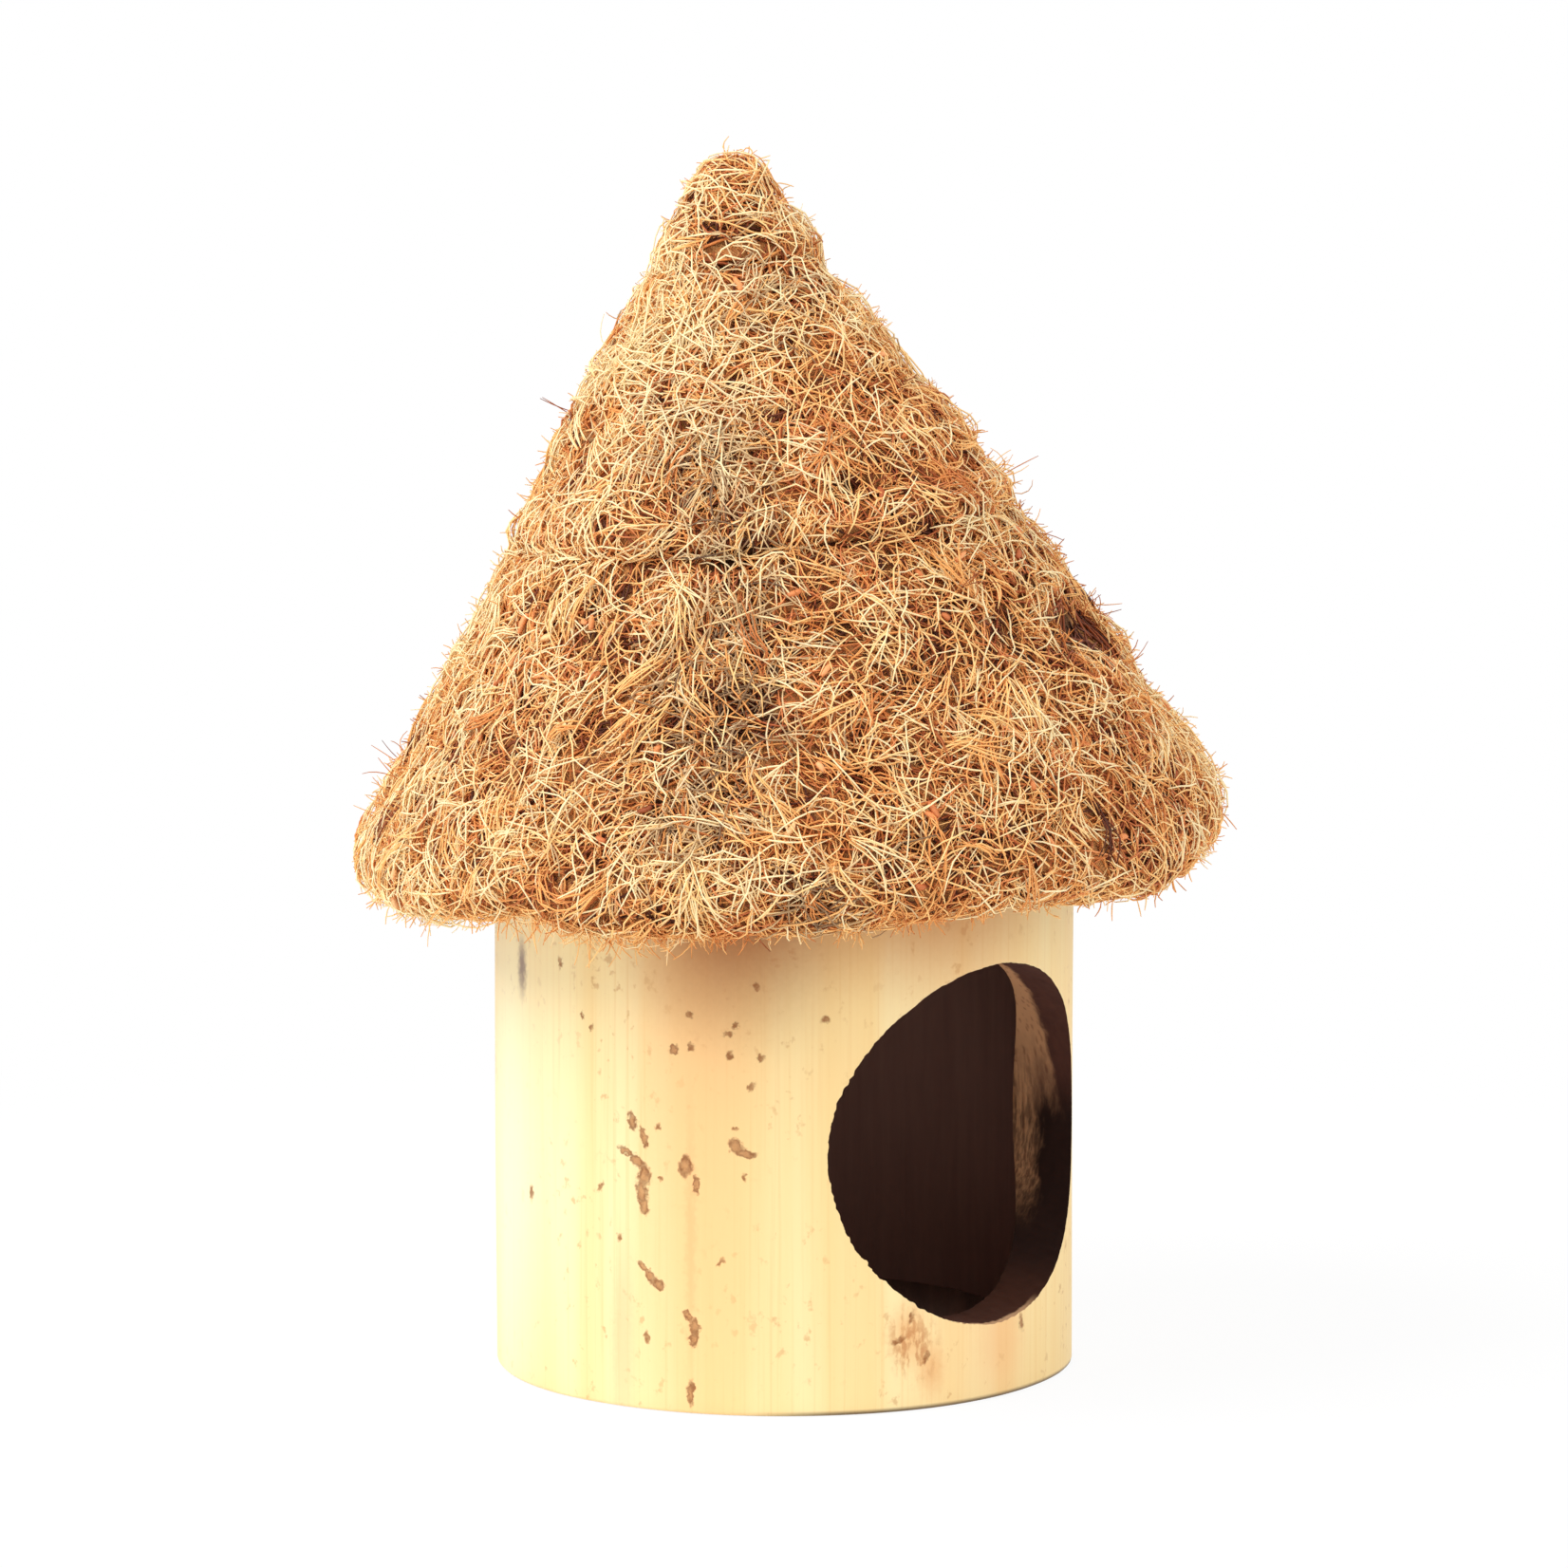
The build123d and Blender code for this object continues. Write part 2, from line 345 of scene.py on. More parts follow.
# Brown marks of the skin, in millimetres round the culm from the line that faces the camera and up
# from its foot: place, half width, half height and lean in degrees. Those that touch run together.
marks = [
    (-19.0, 62.5, 0.9, 0.9, 0),
    (-27.0, 49.6, 0.8, 1.7, 15),
    (-24.7, 47.0, 0.7, 1.9, 18),
    (-28.3, 44.3, 1.7, 0.6, -25),
    (-26.0, 42.8, 1.6, 1.0, -45),
    (-24.6, 40.4, 1.2, 2.0, -6),
    (-25.1, 37.6, 1.1, 2.2, 5),
    (-24.6, 35.2, 1.0, 1.6, 8),
    (-17.0, 42.5, 1.2, 1.9, -12),
    (-15.0, 39.5, 0.6, 1.7, 0),
    (-8.2, 46.4, 1.5, 1.2, -50),
    (-6.6, 45.2, 2.0, 0.8, -8),
    (-25.0, 24.8, 1.4, 0.6, -35),
    (-23.6, 23.4, 1.4, 0.8, -45),
    (-22.0, 21.9, 1.4, 1.0, -48),
    (-16.6, 16.9, 1.2, 0.7, -35),
    (-15.3, 15.2, 0.9, 1.4, 10),
    (-15.4, 13.0, 0.8, 1.5, -14),
    (-16.0, 3.5, 0.7, 2.2, 0),
]
specks = [
    (-43.0, 75.0, 0.7, 1.5, 8),
    (-37.5, 66.5, 0.5, 0.9, 0),
    (-35.5, 64.8, 0.5, 1.0, -20),
    (-16.0, 63.0, 0.8, 1.1, 0),
    (-16.2, 68.5, 0.8, 0.8, 0),
    (-9.4, 65.6, 1.1, 0.6, 10),
    (-8.0, 67.0, 0.6, 1.0, -40),
    (-9.2, 61.8, 0.9, 0.9, 20),
    (-4.0, 61.5, 1.0, 0.7, 0),
    (-5.5, 56.5, 0.7, 1.2, -25),
    (7.0, 68.0, 1.0, 0.9, 0),
    (-4.6, 73.8, 0.9, 0.9, 0),
    (-22.0, 49.0, 0.6, 0.9, -30),
    (-8.4, 49.4, 0.8, 0.5, 0),
    (-21.5, 40.0, 0.7, 0.6, 0),
    (-6.6, 41.2, 0.7, 0.9, 20),
    (-33.5, 37.6, 0.6, 1.4, -38),
    (-52.0, 34.0, 0.9, 1.8, 0),
    (-29.5, 29.4, 0.7, 0.9, -20),
    (-24.2, 12.6, 0.7, 1.4, 0),
    (-10.8, 26.4, 0.6, 1.2, -40),
    (22.3, 16.2, 0.6, 1.5, -10),
    (20.0, 12.4, 1.8, 0.6, 25),
    (25.0, 9.0, 0.7, 1.3, -25),
    (47.5, 12.0, 0.9, 1.8, 10),
]
# Soft washes of colour in the skin, riper or paler, placed the same way: half width, half height,
# strength and colour. The two brown washes just under the eave are painted shade of the roof, and
# the pale wash far to the left is a painted highlight on the side of the key lamp.
washes_and_painted_light = [
    # Painted highlight: the skin paler on the side of the key lamp.
    (-62, 40, 26, 80, 0.6, tint(255, 249, 212)),
    (-15, 48, 18, 95, 0.8, tint(250, 200, 138)),
    (-29, 12, 4, 26, 0.5, tint(248, 190, 142)),
    (-16, 30, 1.6, 34, 0.35, tint(240, 170, 112)),
    (34, 40, 24, 80, 0.5, tint(246, 200, 136)),
    (21.5, 13, 5, 8, 0.5, tint(228, 158, 94)),
    (26, 7, 4, 7, 0.5, tint(228, 158, 94)),
    (42, 10, 9, 14, 0.35, tint(240, 172, 118)),
    (10, 40, 12, 60, 0.45, tint(247, 208, 142)),
    # Painted shade of the roof, in these two washes just under the eave.
    (-8, 90, 29, 32, 0.97, tint(168, 104, 52)),
    (26, 92, 36, 27, 0.78, tint(202, 130, 64)),
    (-55.3, 72.5, 2.6, 7.5, 0.8, tint(122, 96, 98)),
]


def spot_reach(vector, middle, halves, lean):
    """How far out a place lies in a leaning oval: 0 in its middle, 1 on its edge."""
    inputs = {
        "Vector": vector,
        "Location": (*middle, 0),
        "Rotation": (0, 0, radians(lean)),
        "Scale": (*halves, 1),
    }
    inside = vector.node("Mapping", {"vector_type": "TEXTURE"}, inputs)
    return vector.node("VectorMath", {"operation": "LENGTH"}, {0: inside}, "Value")


def nearest_spot(vector, spots):
    """The least reach of a list of leaning ovals, so that those that touch have one outline."""
    nearest = None
    for spot_arc, spot_height, half_width, half_height, lean in spots:
        reach = spot_reach(vector, (spot_arc, spot_height), (half_width, half_height), lean)
        nearest = reach if nearest is None else vector.math("MINIMUM", nearest, reach)
    return nearest


def skin_finish():
    """Bamboo: pale waxy skin with brown blemishes, painted shade under the eave and along the foot,
    and a painted highlight on the lamp's side; dark saw cuts with a painted highlight on one arris; a
    brown bore, partly painted shade.
    """
    finish, wire = new_finish("bamboo_skin")
    place = object_place(wire)
    across = dot(place, view_across)
    towards = dot(place, -view_level)
    height = dot(place, up)
    radius = wire.math("SQRT", across * across + towards * towards)
    arc = wire.math("ARCTAN2", across, towards) * (culm_radius / mm)

    lines = grain(vector_of(arc, height * 0.012, 0.0), 1.1, 4.0)
    bands = grain(vector_of(arc, height * 0.05, 7.0), 0.09, 2.0)
    skin = blend(fade(bands, 0.35, 0.68), tint(247, 216, 153), tint(250, 229, 174))
    skin = blend(fade(lines, 0.48, 0.8) * 0.5, skin, tint(232, 186, 120))
    freckles = fade(grain(vector_of(arc, height * 0.8, 9.0), 0.5, 3.0), 0.6, 0.72) * 0.5
    freckled = fade(grain(vector_of(arc, height, 4.0), 0.05), 0.35, 0.6)
    skin = blend(freckles * freckled, skin, tint(190, 134, 78))
    warp = wire.node("TexNoise", {}, {"Vector": place, "Scale": 1.1, "Detail": 5.0}, "Color")
    both_ways = {0: warp, 1: (2.0,) * 3, 2: (-1.0,) * 3}
    warp = wire.node("VectorMath", {"operation": "MULTIPLY_ADD"}, both_ways)
    flat = wire.node("VectorMath", {"operation": "ADD"}, {0: vector_of(arc, height, 0.0), 1: warp})
    level = wire.node("VectorMath", {"operation": "MULTIPLY"}, {0: flat, 1: (1, 1, 0)})
    # The washes, among them painted shade under the eave and a painted highlight on the left.
    for wash_arc, wash_height, half_width, half_height, depth, colour in washes_and_painted_light:
        wash = spot_reach(level, (wash_arc, wash_height), (half_width, half_height), 0)
        skin = blend(fade(wash, 1.0, 0.1) * depth, skin, colour)
    scar = spot_reach(flat, (22.5, 11.5), (6.5, 9.0), 20)
    streaks = fade(grain(vector_of(arc, height * 0.45, 2.0), 0.7, 4.0), 0.48, 0.62)
    skin = blend(fade(scar, 1.0, 0.2) * streaks * 0.7, skin, tint(192, 122, 66))
    # Painted contact shadow: a dark line along the foot's rim, on the side away from the key lamp.
    foot_painted_shadow = fade(height, 1.1, 0.3) * fade(arc, -12.0, 12.0)
    skin = blend(foot_painted_shadow * 0.85, skin, tint(84, 64, 44))
    mottle = fade(grain(place, 0.9), 0.25, 0.65)
    speck = nearest_spot(flat, specks)
    skin = blend(fade(speck, 1.05, 0.4) * (0.6 + 0.3 * mottle), skin, tint(142, 84, 36))
    far_side = fade(towards, 12.0, -6.0)
    far_marks = fade(grain(vector_of(arc, height * 0.45, 20.0), 0.22, 4.0), 0.65, 0.7) * far_side
    skin = blend(far_marks * (0.4 + 0.4 * mottle), skin, tint(142, 84, 44))
    mark = nearest_spot(flat, marks)
    skin = blend(fade(mark, 1.25, 0.75) * (0.65 + 0.3 * mottle), skin, tint(136, 82, 42))
    skin = blend(fade(mark, 0.8, 0.2) * 0.6, skin, tint(218, 162, 106))

    bundles = vector_of(across, towards, height * 0.03)
    fibres = wire.node("TexVoronoi", {}, {"Vector": bundles, "Scale": 1.1}, "Distance")
    rings = fade(fibres, 0.15, 0.45)
    end_wood = blend(rings, tint(150, 106, 64), tint(222, 188, 134))
    # The door's cut face: dark brown, darkest from about 22 to 42 mm up, with lighter sawn wood in a
    # strip and a patch by the bore, and browner low down.
    face_noise = grain(vector_of(across, towards, height * 0.35), 0.5, 4.0)
    strip_edge = 42.0 + (72.0 - height) * 0.23 + (face_noise - 0.5) * 2.5
    strip = fade(strip_edge - radius, -0.6, 0.8) * fade(height + (face_noise - 0.5) * 18.0, 42.0, 58.0)
    half_way_up = fade(height, 23.0, 34.0) * fade(height, 54.0, 44.0)
    patch = fade(radius + (face_noise - 0.5) * 5.0, 44.8, 42.4) * half_way_up
    frayed = fade(grain(vector_of(across * 2.0, towards * 2.0, height * 0.3), 0.9, 4.0), 0.36, 0.68)
    sawn = blend(rings, tint(180, 126, 88), tint(208, 152, 108))
    dark_face = blend(face_noise, tint(74, 42, 34), tint(102, 60, 46))
    darkest_face = blend(face_noise, tint(36, 17, 10), tint(54, 28, 19))
    dark_face = blend(fade(height, 52.0, 42.0), dark_face, darkest_face)
    door_face = blend(strip + patch * (0.35 + 0.6 * frayed), dark_face, sawn)
    door_face = blend(fade(height, 22.0, 14.0) * (0.5 + 0.5 * face_noise), door_face, tint(84, 46, 30))
    # Painted highlight: a pale line along the lowest outer arris of the cut face.
    door_face = blend(fade(height, 16.0, 14.0) * fade(radius, 48.3, 49.0), door_face, tint(222, 176, 134))
    sideways = dot(place, (1, 0, 0))
    above = height - door_height / mm
    door_reach = wire.math("SQRT", sideways * sideways + above * above)
    in_door = fade(door_reach, 33.0, 32.5) * fade(dot(place, (0, -1, 0)), 10.0, 11.0)
    cut = blend(in_door, end_wood, door_face)
    # The bore's brown is darker than bamboo pith: partly its own colour, partly painted shade of the
    # dark inside.
    bore_noise = grain(vector_of(across, towards, height * 0.1), 0.4, 4.0)
    bore = blend(bore_noise, tint(134, 96, 84), tint(162, 120, 104))
    normal = wire.node("NewGeometry", {}, {}, "True Normal")
    facing = (dot(normal, view_across) * across + dot(normal, -view_level) * towards) / radius
    wood = blend(fade(facing, -0.84, -0.94) * fade(radius, 42.0, 41.0), cut, bore)
    colour = blend(fade(radius, 49.0, 49.3) * fade(facing, 0.4, 0.6), wood, skin)

    gloss = 0.44 + 0.12 * lines
    rough = wire.math("MAXIMUM", gloss, 0.95 - fade(facing, 0.4, 0.6))
    relief = lines * 0.5 + grain(vector_of(arc, height * 0.03, 1.0), 0.35)
    normal = bumps(relief, 0.35, 0.25 * mm)
    surface(wire, Base_Color=colour, Roughness=rough, Normal=normal, Specular_IOR_Level=0.3)
    return finish


culm = add_piece("culm", drilled(make_tube(), make_drill()), skin_finish(), "hut")
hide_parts("bamboo_culm")


# Floor disc: a thin round of raw plank wood, sawn to fit the bore and glued in just above the foot.
# Its grain runs straight across, and its dark brown is partly painted shade of the cabin's dark
# inside.
def plank_and_shade_finish():
    finish, wire = new_finish("floor_wood")
    place = object_place(wire)
    along = dot(place, view_level)
    across = dot(place, view_across)
    rings = grain(vector_of(across, along * 0.04, 0.0), 0.35, 4.0)
    pores = grain(vector_of(across * 3.0, along * 0.15, 5.0), 0.9)
    # Painted shade: the wood is a darker brown than plank, for the shade inside the cabin.
    colour = blend(fade(rings, 0.3, 0.7), tint(122, 90, 74), tint(96, 70, 58))
    colour = blend(fade(pores, 0.62, 0.8) * 0.6, colour, tint(84, 58, 46))
    surface(wire, Base_Color=colour, Roughness=0.75 + 0.15 * pores, Normal=bumps(pores, 0.3, 0.2 * mm))
    return finish


def dress(node_name, finish):
    """Gives a rigid piece of the frame its finish."""
    for material_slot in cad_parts[node_name].material_slots:
        material_slot.material = finish


dress("floor_disc", plank_and_shade_finish())

# Rattan hoops: three rings of round cane, bent wet, that stiffen the roof's frame. The seat hoop
# rests on the culm, and the ribs are nailed to all three. The cane is honey brown, finely lined.
seat_origin = Vector((0, 0, culm_height))
roof_x = Vector((sin(lean_bearing), -cos(lean_bearing), 0))
roof_y = roof_axis.cross(roof_x)
roof_turn = Matrix((roof_x, roof_y, roof_axis)).transposed().to_4x4()
roof_frame = Matrix.Translation(seat_origin) @ roof_turn


def roof_place(wire):
    """Millimetres across the roof's frame and up its axis, and the turn round it in radians."""
    place = object_place(wire)
    raised = wire.node("VectorMath", {"operation": "SUBTRACT"}, {0: place, 1: seat_origin / mm})
    first, second, height = (dot(raised, axis) for axis in (roof_x, roof_y, roof_axis))
    radius = wire.math("SQRT", first * first + second * second)
    return radius, wire.math("ARCTAN2", second, first), height


def cane_finish():
    finish, wire = new_finish("rattan")
    radius, turn, height = roof_place(wire)
    lines = grain(vector_of(radius, height, turn * 1.5), 1.6, 4.0)
    patches = grain(vector_of(radius * 0.2, height * 0.2, turn * 6.0), 0.6)
    colour = blend(fade(lines, 0.35, 0.7), tint(150, 104, 60), tint(196, 150, 94))
    colour = blend(fade(patches, 0.5, 0.75) * 0.6, colour, tint(118, 76, 44))
    relief = bumps(lines, 0.4, 0.2 * mm)
    surface(wire, Base_Color=colour, Roughness=0.5 + 0.2 * patches, Normal=relief)
    return finish


cane = cane_finish()
for hoop in ("eave_hoop", "seat_hoop", "collar_hoop"):
    dress(hoop, cane)

# Ribs: eight flat splints split from a thinner bamboo, nailed to the hoops and to the plug, which
# give the roof its slope. The grain runs up each splint, with the pale skin on one face.
roof_slope = radians(32)


def splint_finish():
    finish, wire = new_finish("split_bamboo")
    radius, turn, height = roof_place(wire)
    climb = height * cos(roof_slope) - radius * sin(roof_slope)
    outwards = radius * cos(roof_slope) + height * sin(roof_slope)
    sideways = radius * turn
    lines = grain(vector_of(sideways, outwards, climb * 0.03), 1.4, 4.0)
    knots = grain(vector_of(turn * 3.0, 0.0, climb), 0.06, 1.0)
    colour = blend(fade(lines, 0.3, 0.72), tint(168, 126, 76), tint(222, 190, 132))
    colour = blend(fade(knots, 0.6, 0.72) * 0.5, colour, tint(140, 98, 58))
    surface(wire, Base_Color=colour, Roughness=0.55 + 0.2 * lines, Normal=bumps(lines, 0.5, 0.25 * mm))
    return finish


splint = splint_finish()
for rib in (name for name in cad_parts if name.startswith("rib_")):
    dress(rib, splint)


# Apex plug: a wooden cone whittled with a knife, under the ribs' upper ends, with a stem that the
# cap is pressed on. Raw pale wood, with the grain up the stem.
def whittled_finish():
    finish, wire = new_finish("plug_wood")
    radius, turn, height = roof_place(wire)
    lines = grain(vector_of(turn * 6.0, radius, height * 0.06), 0.8, 4.0)
    strokes = grain(vector_of(turn * 4.0, height * 0.15, 0.0), 0.8, 1.0)
    colour = blend(fade(lines, 0.3, 0.7), tint(160, 118, 74), tint(206, 168, 114))
    relief = bumps(strokes + lines * 0.4, 0.6, 0.5 * mm)
    surface(wire, Base_Color=colour, Roughness=0.6 + 0.2 * lines, Normal=relief)
    return finish


dress("apex_plug", whittled_finish())


# Wire nails: countersunk steel, driven through the ribs into the hoops and the plug.
# The bare steel has dulled, with a little rust.
def nail_finish():
    finish, wire = new_finish("nail_steel")
    place = object_place(wire)
    rust = fade(grain(place, 1.2, 4.0), 0.5, 0.7)
    colour = blend(rust, tint(150, 148, 146), tint(120, 74, 48))
    surface(wire, Base_Color=colour, Roughness=0.35 + 0.4 * rust, Metallic=1 - rust * 0.8)
    return finish


nail_steel = nail_finish()
for nails in ("hoop_nails", "apex_nails"):
    dress(nails, nail_steel)

# Coir tiers: coconut fibre felted into thick mat, the skirt and the cone bent round the ribs and the
# cap a wad over the plug's stem. Under the loose fibres the mat is dense, lumpy and rust brown.
roof_radius = 76.46 * mm
eave_drop = 10.89 * mm
coir_thickness = 12 * mm
coir_pile = 3.0 * mm
coir_gap = 0.2 * mm
tier_step = 1.8 * mm
cap_step = 1.0 * mm
skirt_length = 61.77 * mm
cone_start = skirt_length + coir_gap
cone_end = 115.27 * mm
cap_start = cone_end + coir_gap
tip_radius = 9.3 * mm
tip_center = 95.8 * mm
stem_socket_radius = 5.2 * mm
socket_top = 89.7 * mm
coir_steps = 160
coir_grid = 2.4 * mm
tier_weld = 0.01 * mm
# Swells and hollows of the mat: degrees round the roof from its far side, millimetres up the slope
# from the eave, how far each spreads and how far it stands out.
coir_swells = [
    (-90, 122, 8, -1.8),
    (-90, 110, 5, -3.0),
    (-90, 99, 5, -2.0),
    (-90, 88, 4, -7.0),
    (-90, 69, 3.5, -4.5),
    (-90, 58, 5, -1.6),
    (-90, 38, 6, -1.2),
    (-90, 19, 9, -2.6),
    (90, 70, 10, -1.2),
    (90, 45, 8, -0.8),
    (150, 64, 8, 1.0),
    (-140, 66, 8, 1.4),
    (-175, 30, 10, 0.8),
    (-118, 24, 7, 1.2),
    (-150, 20, 9, 1.0),
    (137, 45, 4, -1.2),
]
# Deep hollows of the mat, dented in and darkened in its finish as painted shade: placed the same way.
coir_hollows = [
    (-109, 35.5, 5.0, 3.4),
    (173, 32, 4.0, 2.0),
    (173, 59, 3.5, 1.4),
    (-156, 70, 3.0, 2.2),
    (162, 14, 3.0, 1.6),
]
# How far the mat's edge hangs below the slope's end: degrees round the roof, and millimetres.
# It has worked loose towards the door, and its cut edge is uneven.
eave_turns = [-180, -150, -122, -105, -90, -60, 0, 60, 90, 105, 120, 132, 139, 150, 180]
eave_hangs = [4.6, 4.6, 8.6, 6.8, 5.0, 3.0, 1.0, 1.4, 3.2, 2.4, 2.2, 1.5, -0.2, 3.2, 4.6]
sag_run = 16 * mm


def slope_point(along, depth):
    """Radius and height in the roof's frame of a point up the slope and below its outside."""
    radius = roof_radius - along * sin(roof_slope) - depth * cos(roof_slope)
    height = along * cos(roof_slope) - depth * sin(roof_slope) - eave_drop
    return radius, height


def slope_spot(degrees_round, along, depth):
    """The place of a point of the slope, given by its turn round the roof, run and depth."""
    radius, height = slope_point(along * mm, depth)
    turn = radians(degrees_round)
    return roof_frame @ Vector((radius * cos(turn), radius * sin(turn), height))


def slope_out(place):
    """The direction square out of the slope at a place in the roof's frame."""
    flat = Vector((place.x, place.y, 0)).normalized()
    return flat * cos(roof_slope) + up * sin(roof_slope)


def slope_run(place):
    """How far up the slope a place in the roof's frame lies."""
    return (roof_radius - place.xy.length) * sin(roof_slope) + (place.z + eave_drop) * cos(roof_slope)


def coir_lump(place):
    """How far the felted mat stands out at a place in the roof's frame."""
    lump = 1.1 * noise.noise(place / (14 * mm)) + 0.8 * noise.noise(place / (6 * mm))
    dents = [(turn, along, spread, -depth) for turn, along, spread, depth in coir_hollows]
    for degrees_round, along, spread, rise in coir_swells + dents:
        turn = atan2(place.y, place.x) - radians(degrees_round)
        round_gap = ((turn + pi) % tau - pi) * place.xy.length / mm
        along_gap = slope_run(place) / mm - along
        lump += rise * exp(-(round_gap**2 / 4 + along_gap**2) / spread**2)
    return lump * mm


def eave_sag(place):
    """How far a place in the roof's frame is dragged down by the hanging edge of the mat."""
    hang = float(np.interp(degrees(atan2(place.y, place.x)), eave_turns, eave_hangs)) * mm
    run = min(max(1 - slope_run(place) / sag_run, 0), 1)
    return hang * run * run


def make_tier(name, section, rounding):
    """One tier of the mat: its section spun round the roof's axis, rounded, and felted into lumps."""
    shape = draw_section(section)
    spin(shape, coir_steps)
    bmesh.ops.remove_doubles(shape, verts=shape.verts, dist=tier_weld)
    round_corners(shape, rounding, 4)
    lengthwise = {}
    for edge in shape.edges:
        first, second = (vert.co for vert in edge.verts)
        rise = Vector((first.xy.length - second.xy.length, first.z - second.z)).length
        cuts = int(rise / coir_grid)
        if cuts:
            lengthwise.setdefault(cuts, []).append(edge)
    for cuts, edges in lengthwise.items():
        bmesh.ops.subdivide_edges(shape, edges=edges, cuts=cuts, use_grid_fill=True)
    bmesh.ops.recalc_face_normals(shape, faces=shape.faces)
    shape.normal_update()
    moves = []
    for vert in shape.verts:
        facing = vert.normal.dot(slope_out(vert.co)) if vert.co.xy.length > mm else 1.0
        lump = coir_lump(vert.co)
        felting = vert.normal * (lump if facing > 0 else -0.3 * abs(lump))
        moves.append(felting - up * eave_sag(vert.co))
    for vert, move in zip(shape.verts, moves):
        vert.co += move
    bmesh.ops.transform(shape, matrix=roof_frame, verts=shape.verts)
    return mesh_from(name, shape, radians(70))


def mat_finish():
    """Dense felted coir: rust brown, with painted shade in its deep hollows and short crossing fibres.
    """
    finish, wire = new_finish("coir_mat")
    place = object_place(wire)
    web = wire.node("TexVoronoi", {"feature": "DISTANCE_TO_EDGE"}, {"Vector": place, "Scale": 0.75})
    fibres = fade(web, 0.16, 0.03)
    patches = grain(place, 0.12, 3.0)
    felt = grain(place, 0.9, 5.0, 0.7)
    colour = blend(fade(patches, 0.3, 0.7), tint(190, 122, 68), tint(220, 154, 92))
    colour = blend(fade(felt, 0.62, 0.3) * 0.6, colour, tint(142, 82, 44))
    colour = blend(fibres * 0.5, colour, tint(234, 174, 110))
    # Painted shade: the mat darkened about each deep hollow.
    for degrees_round, along, spread, depth in coir_hollows:
        middle = slope_spot(degrees_round, along, coir_pile + depth * mm / 2) / mm
        gap = wire.node("VectorMath", {"operation": "DISTANCE"}, {0: place, 1: middle}, "Value")
        colour = blend(fade(gap, spread * 1.8, spread) * 0.85, colour, tint(58, 30, 20))
    relief = bumps(fibres + felt, 0.8, 0.6 * mm)
    surface(wire, Base_Color=colour, Roughness=0.8 + 0.1 * felt, Normal=relief, Specular_IOR_Level=0.2)
    return finish


mat = mat_finish()
skirt_section = [
    slope_point(0, coir_pile),
    slope_point(skirt_length, coir_pile),
    slope_point(skirt_length, coir_thickness),
    slope_point(0, coir_thickness),
]
cone_section = [
    slope_point(cone_start, coir_pile - tier_step),
    slope_point(cone_end, coir_pile),
    slope_point(cone_end, coir_thickness),
    slope_point(cone_start, coir_thickness),
]
ball_turns = [roof_slope + (pi / 2 - roof_slope) * step / 8 for step in range(8, -1, -1)]
ball_radius = tip_radius - coir_pile
cap_section = [(ball_radius * cos(turn), tip_center + ball_radius * sin(turn)) for turn in ball_turns]
cap_section[0] = (0, tip_center + ball_radius)
cap_section += [
    slope_point(cap_start, coir_pile - cap_step),
    slope_point(cap_start, coir_thickness),
    (stem_socket_radius, socket_top),
    (0, socket_top),
]
tier_meshes = {
    "coir_skirt": make_tier("skirt_mat", skirt_section, 3.5 * mm),
    "coir_cone": make_tier("cone_mat", cone_section, 2.0 * mm),
    "coir_cap": make_tier("cap_mat", cap_section, 0.6 * mm),
}
felted = bmesh.new()
for node_name, tier_mesh in tier_meshes.items():
    felted.from_mesh(tier_mesh)
    tier = add_piece(tier_mesh.name, tier_mesh, mat, "roof")
    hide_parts(node_name)

# Loose coir: stiff golden strands, four to eighteen millimetres long, that lie over the mat in every
# direction, held by the felting. The deeper a layer lies, the darker its tone: rust brown deep down
# and pale straw on top.
to_roof = roof_frame.inverted()
place_draws = random.Random(11)
draws = random.Random(12)
strand_knots = 5
strand_sides = 4
strand_wobble = 0.13
tone_width = 0.012
tone_limits = (0.02, 0.97)
outside_facing = 0.35
inside_facing = -0.6
eave_band = 4 * mm
below_eave_pixel = 1060


def felt_triangles():
    """The mat's triangles, to the micrometre, in an order that is the same on each run."""
    bmesh.ops.triangulate(felted, faces=felted.faces, quad_method="SHORT_EDGE")
    triangles = []
    for face in felted.faces:
        corners = [Vector([round(part, 6) for part in vert.co]) for vert in face.verts]
        first = min(range(3), key=lambda number: tuple(corners[number]))
        triangles.append(corners[first:] + corners[:first])
    return sorted(triangles, key=lambda corners: [tuple(corner) for corner in corners])


felt = felt_triangles()
felt_surface = BVHTree.FromPolygons(
    [corner for corners in felt for corner in corners],
    np.arange(len(felt) * 3).reshape(-1, 3).tolist(),
    all_triangles=True,
)


def sort_triangles():
    """The mat's triangles on the outside, the inside and the eave's edge, and their summed areas."""
    sides = {"outside": [], "inside": [], "eave": []}
    areas = {side: [] for side in sides}
    for first, second, third in felt:
        square = (second - first).cross(third - first)
        place = to_roof @ ((first + second + third) / 3)
        facing = (to_roof.to_3x3() @ square.normalized()).dot(slope_out(place))
        if facing > outside_facing:
            side = "outside"
        elif slope_run(place) < eave_band:
            side = "eave"
        elif facing < inside_facing:
            side = "inside"
        else:
            continue
        sides[side].append((first, second, third))
        areas[side].append(square.length / 2)
    return {side: (triangles, np.cumsum(areas[side])) for side, triangles in sides.items()}


felt_sides = sort_triangles()


def spots_on(side, count):
    """Random places on one side of the mat, spread evenly over its area."""
    triangles, areas = felt_sides[side]
    spots = []
    for _ in range(count):
        corners = triangles[int(np.searchsorted(areas, place_draws.random() * areas[-1]))]
        shares = [place_draws.random() for _ in corners]
        weighted = [corner * share for corner, share in zip(corners, shares)]
        spots.append(sum(weighted, Vector()) / sum(shares))
    return spots


